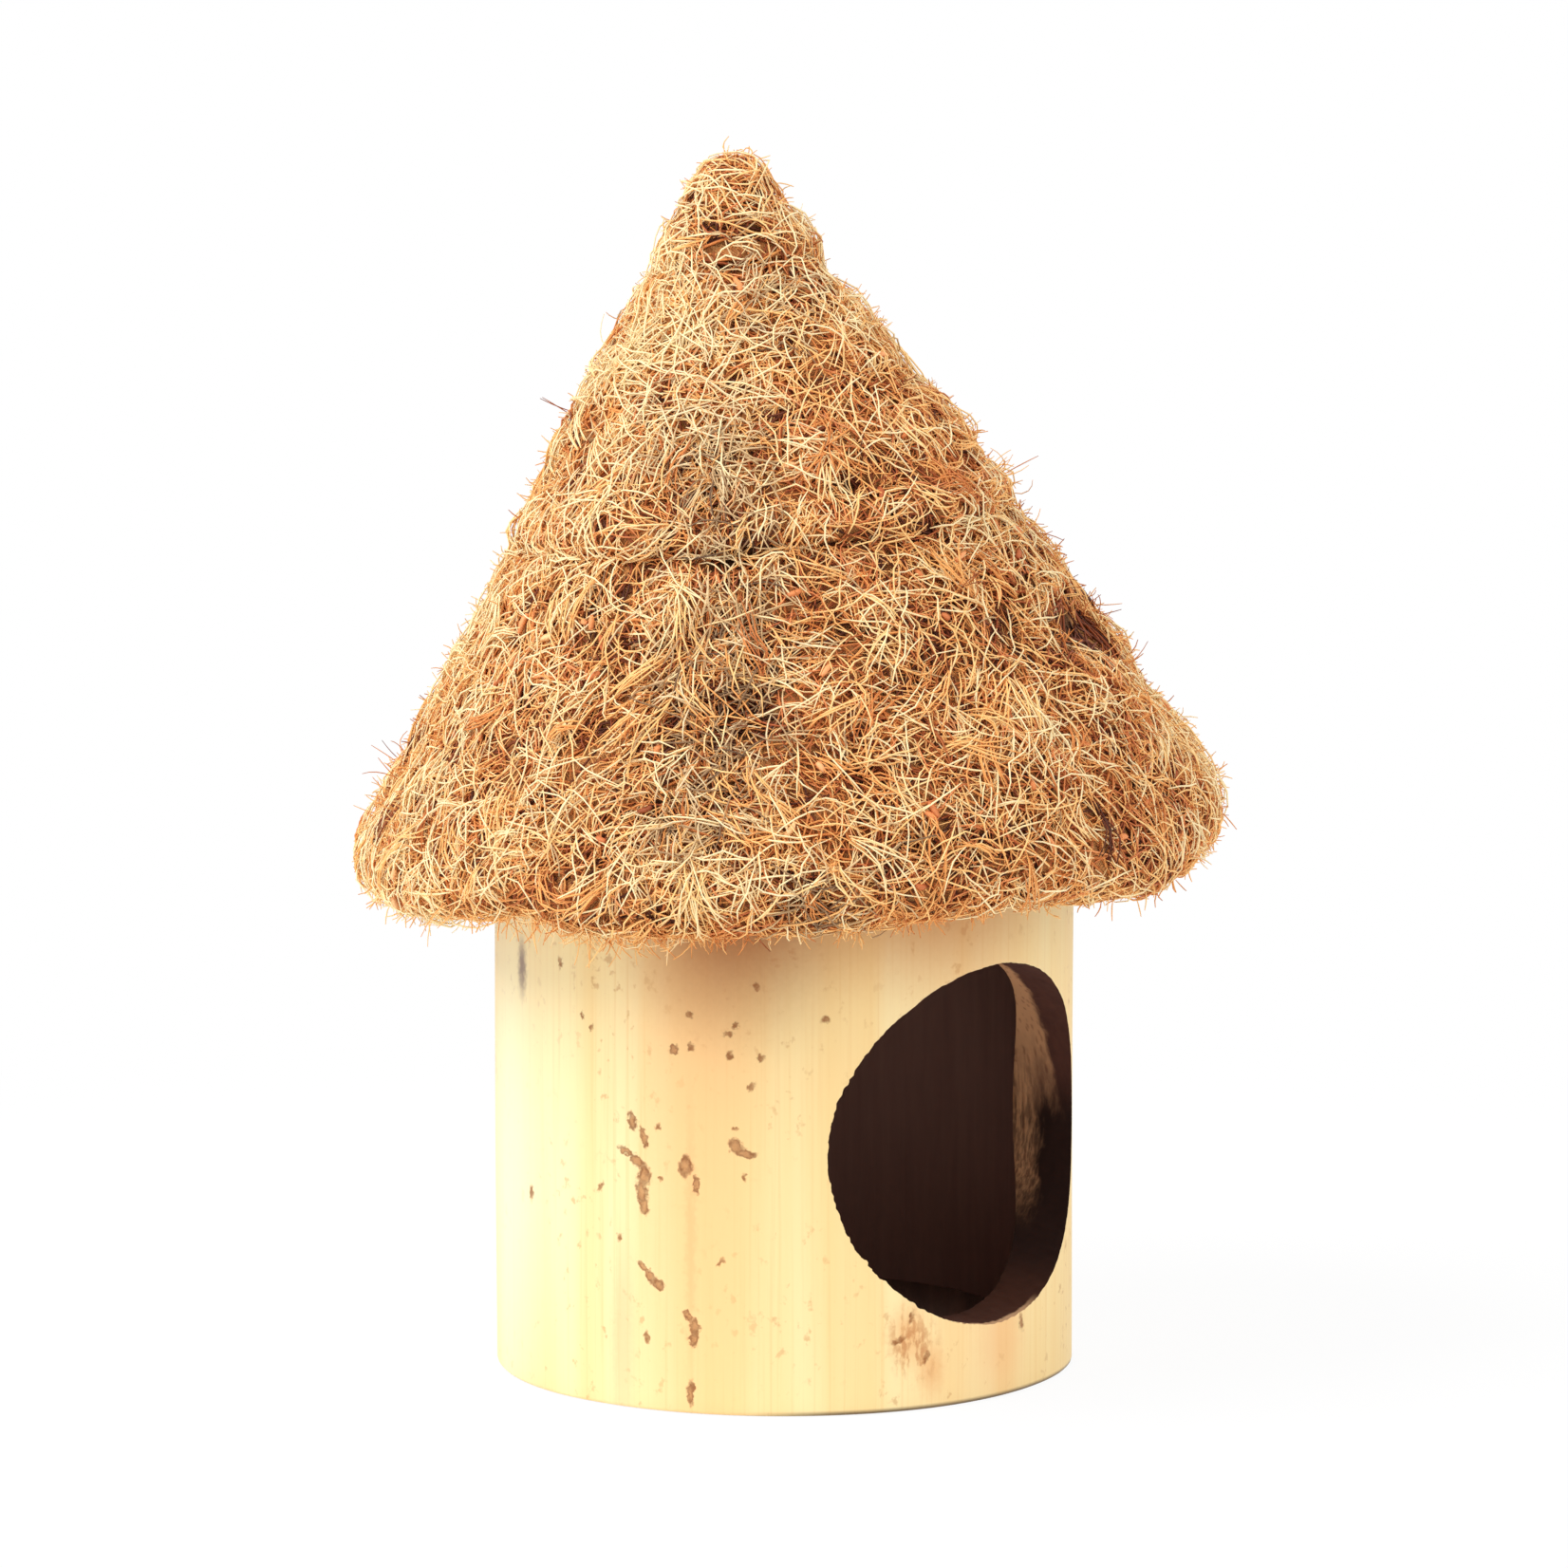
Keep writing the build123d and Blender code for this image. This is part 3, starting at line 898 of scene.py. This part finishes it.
def seen_spot(across_pixel, down_pixel):
    """The place on the mat that the photograph shows at a pixel."""
    return felt_surface.ray_cast(view_point, view_ray(across_pixel, down_pixel))[0]


def on_mat(places):
    """Puts places that are given by pixel, a reach in millimetres and more on the mat."""
    return [(seen_spot(across, down), reach * mm, *more) for across, down, reach, *more in places]


def eave_spot(across_pixel):
    """The lowest place on the mat that the photograph shows at that many pixels across."""
    down_pixel = below_eave_pixel
    while not (spot := seen_spot(across_pixel, down_pixel)):
        down_pixel -= 2
    return spot


def spots_near(middle, spread, count):
    """Random places on the mat about one place."""
    spots = []
    for _ in range(count):
        spot = middle + Vector([place_draws.gauss(0, spread) for _ in range(3)])
        spots.append(felt_surface.find_nearest(spot)[0])
    return spots


# Holes between the upper strands, where the mat shows, and about which the strands are darkened as
# painted shade. Most are small and lie anywhere; the larger ones are given by pixel and radius in
# millimetres.
hole_count = 1100
hole_radii = (0.8, 2.0)
large_holes = [
    (765, 600, 1.8),
    (745, 735, 1.8),
    (557, 749, 1.9),
    (575, 836, 1.4),
    (908, 772, 1.9),
    (888, 668, 1.8),
    (835, 930, 2.0),
    (690, 800, 1.6),
    (640, 815, 1.5),
    (875, 635, 1.6),
    (1005, 640, 1.7),
]
holes = [(spot, place_draws.uniform(*hole_radii) * mm) for spot in spots_on("outside", hole_count)]
holes += on_mat(large_holes)
hole_finder = KDTree(len(holes))
for number, (spot, _) in enumerate(holes):
    hole_finder.insert(spot, number)
hole_finder.balance()
# Hollows that hardly a strand crosses, by pixel and radius; the deep strands that do are nearly black,
# as painted shade.
bare_hollows = on_mat([(1118, 670, 5.4), (1148, 678, 5.6), (895, 515, 2.0), (770, 755, 2.4)])


def is_bare(points):
    """Whether any of a strand's points lies in one of the bare hollows."""
    return any((point - spot).length < radius for point in points for spot, radius in bare_hollows)


def round_hole(place):
    """Moves a place on the mat to the rim of the hole that it falls in, if any."""
    middle, number, gap = hole_finder.find(place)
    radius = holes[number][1]
    if gap >= radius:
        return place
    return middle + (place - middle) * radius / max(gap, 0.05 * mm)


# Places where the strands were combed one way, by pixel, with their spread in millimetres and the
# turn in degrees from straight down the slope. Elsewhere the strands swirl and cross.
combed_places = [
    (420, 890, 14, 0),
    (470, 800, 12, 8),
    (530, 700, 10, 0),
    (665, 745, 8, -35),
    (640, 940, 8, -25),
    (760, 660, 8, 10),
    (780, 560, 8, 5),
    (1040, 720, 8, -30),
    (1180, 860, 10, 40),
]
combings = on_mat(combed_places)
combed_share = 0.7
combed_scatter = 22
crossing_share = 0.5
swirl_size = 12 * mm


def strand_turn(place):
    """The turn of a strand from straight down the slope."""
    for middle, spread, turn in combings:
        if draws.random() < combed_share * exp(-((place - middle).length / spread) ** 2):
            return radians(draws.gauss(turn, combed_scatter))
    if draws.random() < crossing_share:
        return draws.uniform(0, tau)
    return 2.2 * pi * noise.noise(place / swirl_size) + draws.gauss(0, 0.7)


def downhill(outwards):
    """The direction straight down the slope at a place on the mat."""
    return (outwards * outwards.z - up).normalized() if outwards.z < 0.98 else outwards.orthogonal()


def lay_strand(start, turn, length, lift, arch, bend, open_holes=True):
    """Points of a strand that keeps close to the mat and bends a little as it goes."""
    place, outwards, _, _ = felt_surface.find_nearest(start)
    heading = Quaternion(outwards, turn) @ downhill(outwards)
    points = []
    for knot in range(strand_knots):
        rise = lift + arch * sin(pi * (knot / (strand_knots - 1)))
        points.append((round_hole(place) if open_holes else place) + outwards * rise)
        heading = (Quaternion(outwards, draws.gauss(bend, strand_wobble)) @ heading).normalized()
        step = place + outwards * lift + heading * (length / (strand_knots - 1))
        place, outwards, _, _ = felt_surface.find_nearest(step)
        heading = heading - outwards * heading.dot(outwards)
    return points


def make_tubes(name, lines, thickness, taper=None):
    """Four-sided tubes along lines of points: capped ones with a taper, or else closed loops."""
    curve = bpy.data.curves.new(name, "CURVE")
    curve.dimensions = "3D"
    curve.bevel_depth = thickness / 2
    curve.bevel_resolution = 0
    curve.use_fill_caps = taper is not None
    for points in lines:
        spline = curve.splines.new("POLY")
        spline.points.add(len(points) - 1)
        spline.points.foreach_set("co", [value for point in points for value in (*point, 1.0)])
        if taper:
            spline.points.foreach_set("radius", taper)
        else:
            spline.use_cyclic_u = True
    blank = bpy.data.objects.new(name + "_line", curve)
    mesh = bpy.data.meshes.new_from_object(blank)
    bpy.data.objects.remove(blank)
    mesh.name = name
    mesh.shade_smooth()
    return mesh


def add_strands(name, strands, thickness, finish):
    """One piece of tapered strands, given as their points and tones, with a map of tone and run."""
    knots = len(strands[0][0])
    taper = [0.45 + 0.55 * sin(pi * (0.12 + 0.8 * knot / (knots - 1))) for knot in range(knots)]
    mesh = make_tubes(name, [points for points, _ in strands], thickness, taper)
    corners = np.empty(len(mesh.loops), int)
    mesh.loops.foreach_get("vertex_index", corners)
    tones = np.array([tone for _, tone in strands])
    # The mesh begins with the end caps: the last strand's first, and its far end before the near one.
    ring = corners // strand_sides
    cap_rings = 2 * len(strands)
    on_cap = ring < cap_rings
    strand = np.where(on_cap, len(strands) - 1 - ring // 2, (ring - cap_rings) // knots)
    run = np.where(on_cap, 1 - ring % 2, (ring - cap_rings) % knots / (knots - 1))
    across = corners % strand_sides * tone_width / strand_sides
    spread = np.column_stack((tones[strand] + across, run))
    for map_name in ("strand", "OFBake"):
        layer = mesh.uv_layers.new(name=map_name)
        layer.uv.foreach_set("vector", spread.astype(np.float32).ravel())
    return add_piece(name, mesh, finish, "roof")


def strand_finish(name, stops):
    """Coir strands: each has one tone, and its ends are a little darker."""
    finish, wire = new_finish(name)
    spread = wire.node("UVMap", {"uv_map": "strand"}, {}, "UV")
    tone = dot(spread, (1, 0, 0))
    run = dot(spread, (0, 1, 0))
    ends = fade(run * (1 - run), 0.16, 0.0)
    colour = wire.node("ValToRGB", {"stops": stops}, {"Fac": tone - ends * 0.1})
    surface(wire, Base_Color=colour, Roughness=0.6, Specular_IOR_Level=0.3)
    return finish


golden = strand_finish(
    "coir_golden",
    [
        (0.0, tint(70, 32, 20)),
        (0.2, tint(156, 78, 40)),
        (0.4, tint(220, 136, 70)),
        (0.6, tint(247, 180, 105)),
        (0.8, tint(255, 209, 138)),
        (1.0, tint(255, 236, 188)),
    ],
)
weathered = strand_finish(
    "coir_weathered",
    [
        (0.0, tint(92, 66, 48)),
        (0.3, tint(158, 122, 86)),
        (0.6, tint(216, 180, 130)),
        (1.0, tint(250, 228, 184)),
    ],
)
rusty = strand_finish(
    "coir_rusty",
    [
        (0.0, tint(104, 50, 28)),
        (0.3, tint(184, 95, 52)),
        (0.6, tint(238, 150, 90)),
        (1.0, tint(255, 210, 152)),
    ],
)
# Lighter and darker places of the coir, by pixel, with their spread in millimetres and the change of
# tone. The lighter ones, on the side away from the door and towards the key lamp, are painted light,
# and the darker ones, in hollows and pits, are partly painted shade.
toned_places = [
    (770, 745, 8, -0.22),
    (765, 690, 8, -0.08),
    (770, 590, 7, -0.06),
    (850, 945, 7, -0.14),
    (1140, 672, 8, -0.32),
    (1106, 694, 5, -0.25),
    (700, 850, 6, -0.14),
    (900, 520, 4, -0.2),
    (640, 690, 6, -0.1),
    (775, 250, 8, -0.12),
    (1020, 660, 8, -0.1),
    (1200, 800, 14, -0.06),
    (440, 880, 26, 0.12),
    (560, 600, 26, 0.14),
    (690, 340, 20, 0.34),
    (905, 400, 16, -0.1),
    (800, 880, 16, -0.06),
]
tonings = on_mat(toned_places)


def own_tone(tone, scatter):
    """A single strand's tone, about the one that is right for its place."""
    darkest, palest = tone_limits
    return min(max(draws.gauss(tone, scatter), darkest), palest)


def tone_at(place, middle, scatter=0.1):
    """A strand's tone: about that of its layer, with painted light on the mat's lumps and painted
    shade in its dents and about the holes.
    """
    on_roof = to_roof @ place
    # The same noise as the mat's lumps: painted light on the lumps, painted shade in the dents.
    tone = middle + 0.18 * noise.noise(on_roof / (14 * mm)) + 0.3 * noise.noise(on_roof / (6 * mm))
    _, number, gap = hole_finder.find(place)
    # Painted shade about the holes.
    tone -= 0.75 * max(1 - gap / (1.5 * holes[number][1]), 0)
    # Lighter and darker places: painted light on the lamp's side, partly painted shade in the darker
    # ones.
    for spot, spread, change in tonings:
        tone += change * exp(-((place - spot).length / spread) ** 2)
    return own_tone(tone, scatter)


def cover(
    name,
    spots,
    thickness,
    lengths,
    lifts,
    tone,
    scatter=0.08,
    finish=golden,
    arch=0.6,
    open_holes=False,
):
    """A layer of loose strands from those spots. Only the deepest cross the bare hollows, darkened
    there as painted shade.
    """
    strands = []
    for number, spot in enumerate(spots):
        draws.seed(f"{name} {number}")
        points = lay_strand(
            spot,
            strand_turn(spot),
            draws.uniform(*lengths) * mm,
            draws.uniform(*lifts) * mm,
            draws.uniform(0, arch) * mm,
            draws.gauss(0, 0.15),
            open_holes,
        )
        if not is_bare(points):
            strands.append((points, tone_at(points[strand_knots // 2], tone, scatter)))
        # Painted shade: deep strands in a bare hollow are nearly black.
        elif name == "coir_deep":
            strands.append((points, draws.uniform(0.02, 0.2)))
    return add_strands(name, strands, thickness * mm, finish)


def thinned_spots(count, share_at):
    """Random places on the outside, of which the share that is right for the place is kept."""
    spots = spots_on("outside", count)
    return [spot for spot in spots if place_draws.random() < share_at(to_roof @ spot)]


def pale_share(place):
    """How thick the pale strands lie: redder coir shows between their patches."""
    return 0.55 + 0.9 * noise.noise(place / (5 * mm)) + 0.4 * noise.noise(place / (11 * mm))


def rusty_share(place):
    """How thick the rusty strands lie: in patches, most of them towards the door."""
    return 0.46 + 0.8 * noise.noise(place / (12 * mm)) - 0.3 * sin(atan2(place.y, place.x))


cover("coir_deep", spots_on("outside", 5200), 0.5, (7, 14), (0.0, 0.6), 0.28)
cover("coir_middle", spots_on("outside", 5500), 0.36, (5, 11), (0.2, 1.1), 0.4, 0.1)
upper_spots = thinned_spots(10000, pale_share)
cover("coir_upper", upper_spots, 0.3, (4, 9), (0.4, 1.5), 0.73, 0.14, open_holes=True)
fine_spots = thinned_spots(10000, pale_share)
cover("coir_fine", fine_spots, 0.24, (4, 9), (0.6, 1.8), 0.82, 0.14, open_holes=True)
top_spots = thinned_spots(6400, pale_share)
cover("coir_top", top_spots, 0.33, (6, 14), (0.9, 2.1), 0.95, 0.08, arch=1.3, open_holes=True)
cover("coir_edge", spots_on("eave", 2600), 0.36, (5, 11), (0.1, 1.4), 0.66, 0.12)
cover("coir_lining", spots_on("inside", 2600), 0.45, (8, 18), (0.0, 0.5), 0.45)

# Weathered and rusty strands: grey and straw-coloured ones in a streak down the front, given by pixel,
# redder ones in patches, and thick short crumbs of husk.
weathered_places = [(770, 540), (765, 600), (770, 650), (770, 690), (775, 740), (760, 780)]
weathered_places += [(745, 830), (735, 880), (870, 950), (740, 440), (750, 490), (790, 300)]
weathered_spread = 5.5 * mm
weathered_count = 75
weathered_spots = spots_on("outside", 200)
for place in weathered_places:
    weathered_spots += spots_near(seen_spot(*place), weathered_spread, weathered_count)
cover("coir_weathered", weathered_spots, 0.32, (4, 10), (0.8, 2.1), 0.62, 0.22, weathered, 1.2)
rusty_spots = thinned_spots(7000, rusty_share)
cover("coir_rusty", rusty_spots, 0.3, (4, 9), (0.4, 1.5), 0.56, 0.12, rusty, open_holes=True)
husk_places = [(775, 300), (588, 674), (640, 690), (690, 850), (1128, 700)]
husk_spots = [seen_spot(*place) for place in husk_places] + spots_on("outside", 90)
cover("coir_husk", husk_spots, 1.2, (1.5, 3.6), (1.2, 2.0), 0.58, 0.15, rusty, 0.2)

# Stars and locks: strands that meet in a knot and spread from it, and bundles of near-parallel
# strands. The plainest ones are given by pixel, and the others lie anywhere.
star_places = [(614, 876), (553, 885), (720, 880), (640, 540)]
star_places += [(869, 477), (920, 675), (790, 890), (910, 820)]
star_count = 12
star_spread = 0.6 * mm
star_strands = 11
lock_places = [(690, 742, -40), (650, 930, -30), (1050, 720, -30)]
lock_places += [(975, 860, 15), (860, 800, 75), (700, 700, -40)]
lock_count = 200
lock_spread = 0.8 * mm
lock_strands = 6
pale_lock_place = (734, 925)
pale_lock_spread = 1.5 * mm
pale_lock_strands = 36
knotted = []
stars = [seen_spot(*place) for place in star_places] + spots_on("outside", star_count)
for number, spot in enumerate(stars):
    draws.seed(f"star {number}")
    for start in spots_near(spot, star_spread, star_strands):
        turn = draws.uniform(0, tau)
        length = draws.uniform(4, 9) * mm
        bend = draws.gauss(0, 0.2)
        points = lay_strand(start, turn, length, 1.6 * mm, 0.8 * mm, bend, False)
        knotted.append((points, tone_at(spot, 0.84, 0.1)))
locks = [(seen_spot(across, down), radians(turn)) for across, down, turn in lock_places]
locks += [(spot, None) for spot in spots_on("outside", lock_count)]
for number, (spot, turn) in enumerate(locks):
    draws.seed(f"lock {number}")
    turn = strand_turn(spot) if turn is None else turn
    length = draws.uniform(6, 13) * mm
    bend = draws.gauss(0, 0.2)
    lift = draws.uniform(1.2, 2.2) * mm
    tone = tone_at(spot, 0.74, 0.1)
    for start in spots_near(spot, lock_spread, lock_strands):
        points = lay_strand(start, draws.gauss(turn, 0.15), length, lift, 1.0 * mm, bend)
        if not is_bare(points):
            knotted.append((points, own_tone(tone, 0.06)))
for start in spots_near(seen_spot(*pale_lock_place), pale_lock_spread, pale_lock_strands):
    length = draws.uniform(8, 15) * mm
    lift = draws.uniform(1.2, 2.6) * mm
    turn = draws.gauss(0.1, 0.3)
    points = lay_strand(start, turn, length, lift, 0.8 * mm, draws.gauss(0, 0.15))
    knotted.append((points, draws.uniform(0.78, 0.97)))
add_strands("coir_knots", knotted, 0.32 * mm, golden)

# Nap and fringe: short fine strands that stand out of the mat, leaning down the slope, which soften
# its outline, and those that hang from the cut edge of the skirt.
tuft_size = 5
tuft_spread = 1.1 * mm
tuft_scatter = 0.45
root_lifts = (0.3, 1.8)
whisker_curl = 0.35


def whisker(start, lean, lengths, spread, knots):
    """Points of a short strand that leaves the mat in about that direction, curling as it goes."""
    heading = (lean + Vector([draws.gauss(0, spread) for _ in range(3)])).normalized()
    curl = Vector([draws.gauss(0, whisker_curl) for _ in range(3)])
    step = draws.uniform(*lengths) * mm / (knots - 1)
    points = [start]
    for _ in range(knots - 1):
        points.append(points[-1] + heading * step)
        heading = (heading + curl).normalized()
    return points


def bristle(name, side, count, thickness, lengths, lean, spread, tone, knots=4):
    """Tufts that stand out of one side of the mat. Lean gives the shares outwards and down."""
    strands = []
    for number, middle in enumerate(spots_on(side, count // tuft_size)):
        draws.seed(f"{name} {number}")
        tuft_lean = Vector([draws.gauss(0, tuft_scatter) for _ in range(3)])
        for spot in spots_near(middle, tuft_spread, tuft_size):
            place, outwards, _, _ = felt_surface.find_nearest(spot)
            heading = outwards * lean[0] + downhill(outwards) * lean[1] + tuft_lean
            start = place + outwards * draws.uniform(*root_lifts) * mm
            points = whisker(start, heading, lengths, spread, knots)
            _, hole, gap = hole_finder.find(place)
            if gap > 0.9 * holes[hole][1] and not is_bare(points):
                strands.append((points, tone_at(spot, tone)))
    return add_strands(name, strands, thickness * mm, golden)


bristle("coir_nap", "outside", 6000, 0.22, (1.8, 4), (0.5, 0.25), 0.4, 0.68)
bristle("coir_fuzz", "outside", 6900, 0.17, (1.4, 3.3), (0.8, 0.1), 0.5, 0.62)
bristle("coir_flyaways", "outside", 250, 0.18, (5, 9), (0.7, 0.2), 0.5, 0.5, 6)
bristle("coir_fringe", "eave", 2600, 0.24, (1.6, 4), (0.5, 0.3), 0.5, 0.66)

# Hanging strands: coir that has worked loose from the eave's edge and hangs before the culm, on the
# side that faces the camera. They are placed by the pixels across.
hanging_pixels = range(525, 745, 4)
hanging_spread = 1.2 * mm
hanging_strands = 3
hanging = []
for across in hanging_pixels:
    draws.seed(f"hanging {across}")
    for start in spots_near(eave_spot(across), hanging_spread, hanging_strands):
        points = whisker(start, -up + 0.3 * downhill(up), (3, 8), 0.35, 5)
        hanging.append((points, draws.uniform(0.5, 0.95)))
add_strands("coir_hanging", hanging, 0.24 * mm, golden)

# Stitches: loops of two-ply jute twine that sew the mats to the ribs, two to each rib in either tier.
# Inside they cross the rib, and outside they sink into the felt under the loose coir.
rib_count = 8
stitch_half_width = 4.05 * mm
stitch_depths = (2.35 * mm, 16.62 * mm)
stitch_runs = {"skirt_stitches": (19.85, 44.63), "cone_stitches": (65.5, 82.05)}
ply_radius = 0.37 * mm
twist_count = 10
twine_step = 0.56 * mm


def twine_plies(degrees_round, along):
    """Points of the two plies of one stitch, twisted round each other along a rounded loop."""
    turn = radians(degrees_round)
    sideways = roof_frame.to_3x3() @ Vector((-sin(turn), cos(turn), 0)) * stitch_half_width
    outer, inner = (slope_spot(degrees_round, along, depth) for depth in stitch_depths)
    corners = [outer - sideways, outer + sideways, inner + sideways, inner - sideways]
    line = []
    for first, second in zip(corners, corners[1:] + corners[:1]):
        count = round((second - first).length / twine_step)
        line += [first.lerp(second, number / count) for number in range(count)]
    for _ in range(2):
        neighbours = zip(line[-1:] + line, line, line[1:] + line[:1])
        line = [(before + here + after) / 3 for before, here, after in neighbours]
    square = sideways.cross(outer - inner).normalized()
    plies = []
    for side in (0, pi):
        ply = []
        for number, here in enumerate(line):
            heading = (line[(number + 1) % len(line)] - line[number - 1]).normalized()
            twist = side + tau * twist_count * number / len(line)
            ply.append(here + (heading.cross(square) * cos(twist) + square * sin(twist)) * ply_radius)
        plies.append(ply)
    return plies


def twine_finish():
    finish, wire = new_finish("jute_twine")
    place = object_place(wire)
    hairs = grain(place, 2.5, 4.0)
    colour = blend(fade(hairs, 0.3, 0.7), tint(138, 96, 58), tint(206, 164, 108))
    surface(wire, Base_Color=colour, Roughness=0.8 + 0.1 * hairs, Normal=bumps(hairs, 0.6, 0.2 * mm))
    return finish


jute = twine_finish()
for node_name, runs in stitch_runs.items():
    plies = []
    for rib_number in range(rib_count):
        for run in runs:
            plies += twine_plies(360 / rib_count * (rib_number + 0.5), run)
    twine_name = node_name.replace("stitches", "twine")
    twine_mesh = make_tubes(twine_name, plies, ply_radius * 2)
    stitches = add_piece(twine_name, twine_mesh, jute, "roof")
    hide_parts(node_name)

# Studio: a white table and white surroundings, a large soft lamp to the left of the camera,
# and a weaker one to the right.
table_size = 30.0
shadow_share = 0.08
ambient = 0.6


def seen_white(wire):
    """1 where the camera sees the surface, straight or by a reflection."""
    kinds = ("Camera", "Glossy", "Transmission")
    rays = [wire.node("LightPath", {}, {}, f"Is {kind} Ray") for kind in kinds]
    return wire.math("MAXIMUM", wire.math("MAXIMUM", rays[0], rays[1]), rays[2])


def table_finish():
    finish, wire = new_finish("white_table")
    matt = wire.node("BsdfDiffuse", {}, {"Color": tint(252, 252, 252)})
    white = wire.node("Emission", {}, {"Color": tint(255, 255, 255), "Strength": 1.0})
    place = object_place(wire)
    reach = wire.node("VectorMath", {"operation": "LENGTH"}, {0: place}, "Value")
    share = seen_white(wire) * (1 - shadow_share * fade(reach, 320.0, 120.0))
    mixed = wire.node("MixShader", {}, {0: share, 1: matt, 2: white})
    wire.node("OutputMaterial", {}, {"Surface": mixed})
    return finish


table_shape = bmesh.new()
bmesh.ops.create_grid(table_shape, x_segments=2, y_segments=2, size=table_size / 2)
bmesh.ops.translate(table_shape, verts=table_shape.verts, vec=(0, 0, -0.05 * mm))
table = bpy.data.objects.new("table", mesh_from("table", table_shape))
table.data.materials.append(table_finish())
scene.collection.objects.link(table)

scene.world = bpy.data.worlds.new("studio")
scene.world.use_nodes = True
scene.world.node_tree.nodes.clear()
sky = Wire(scene.world.node_tree)
glow = {"Color": tint(255, 255, 255), "Strength": ambient + (1 - ambient) * seen_white(sky)}
sky.node("OutputWorld", {}, {"Surface": sky.node("Background", {}, glow)})


def add_lamp(name, across, ahead, height, size, power):
    """A square soft lamp, placed as the camera sees it and turned to the hut."""
    light = bpy.data.lights.new(name, "AREA")
    light.size = size
    light.energy = power
    lamp = bpy.data.objects.new(name, light)
    lamp.location = view_across * across + view_level * ahead + up * height
    lamp.rotation_euler = (view_target - lamp.location).to_track_quat("-Z", "Y").to_euler()
    scene.collection.objects.link(lamp)


add_lamp("key_lamp", -1.2, -0.5, 1.5, 1.3, 32)
add_lamp("fill_lamp", 1.3, -0.8, 1.2, 1.3, 12)

bpy.context.view_layer.update()
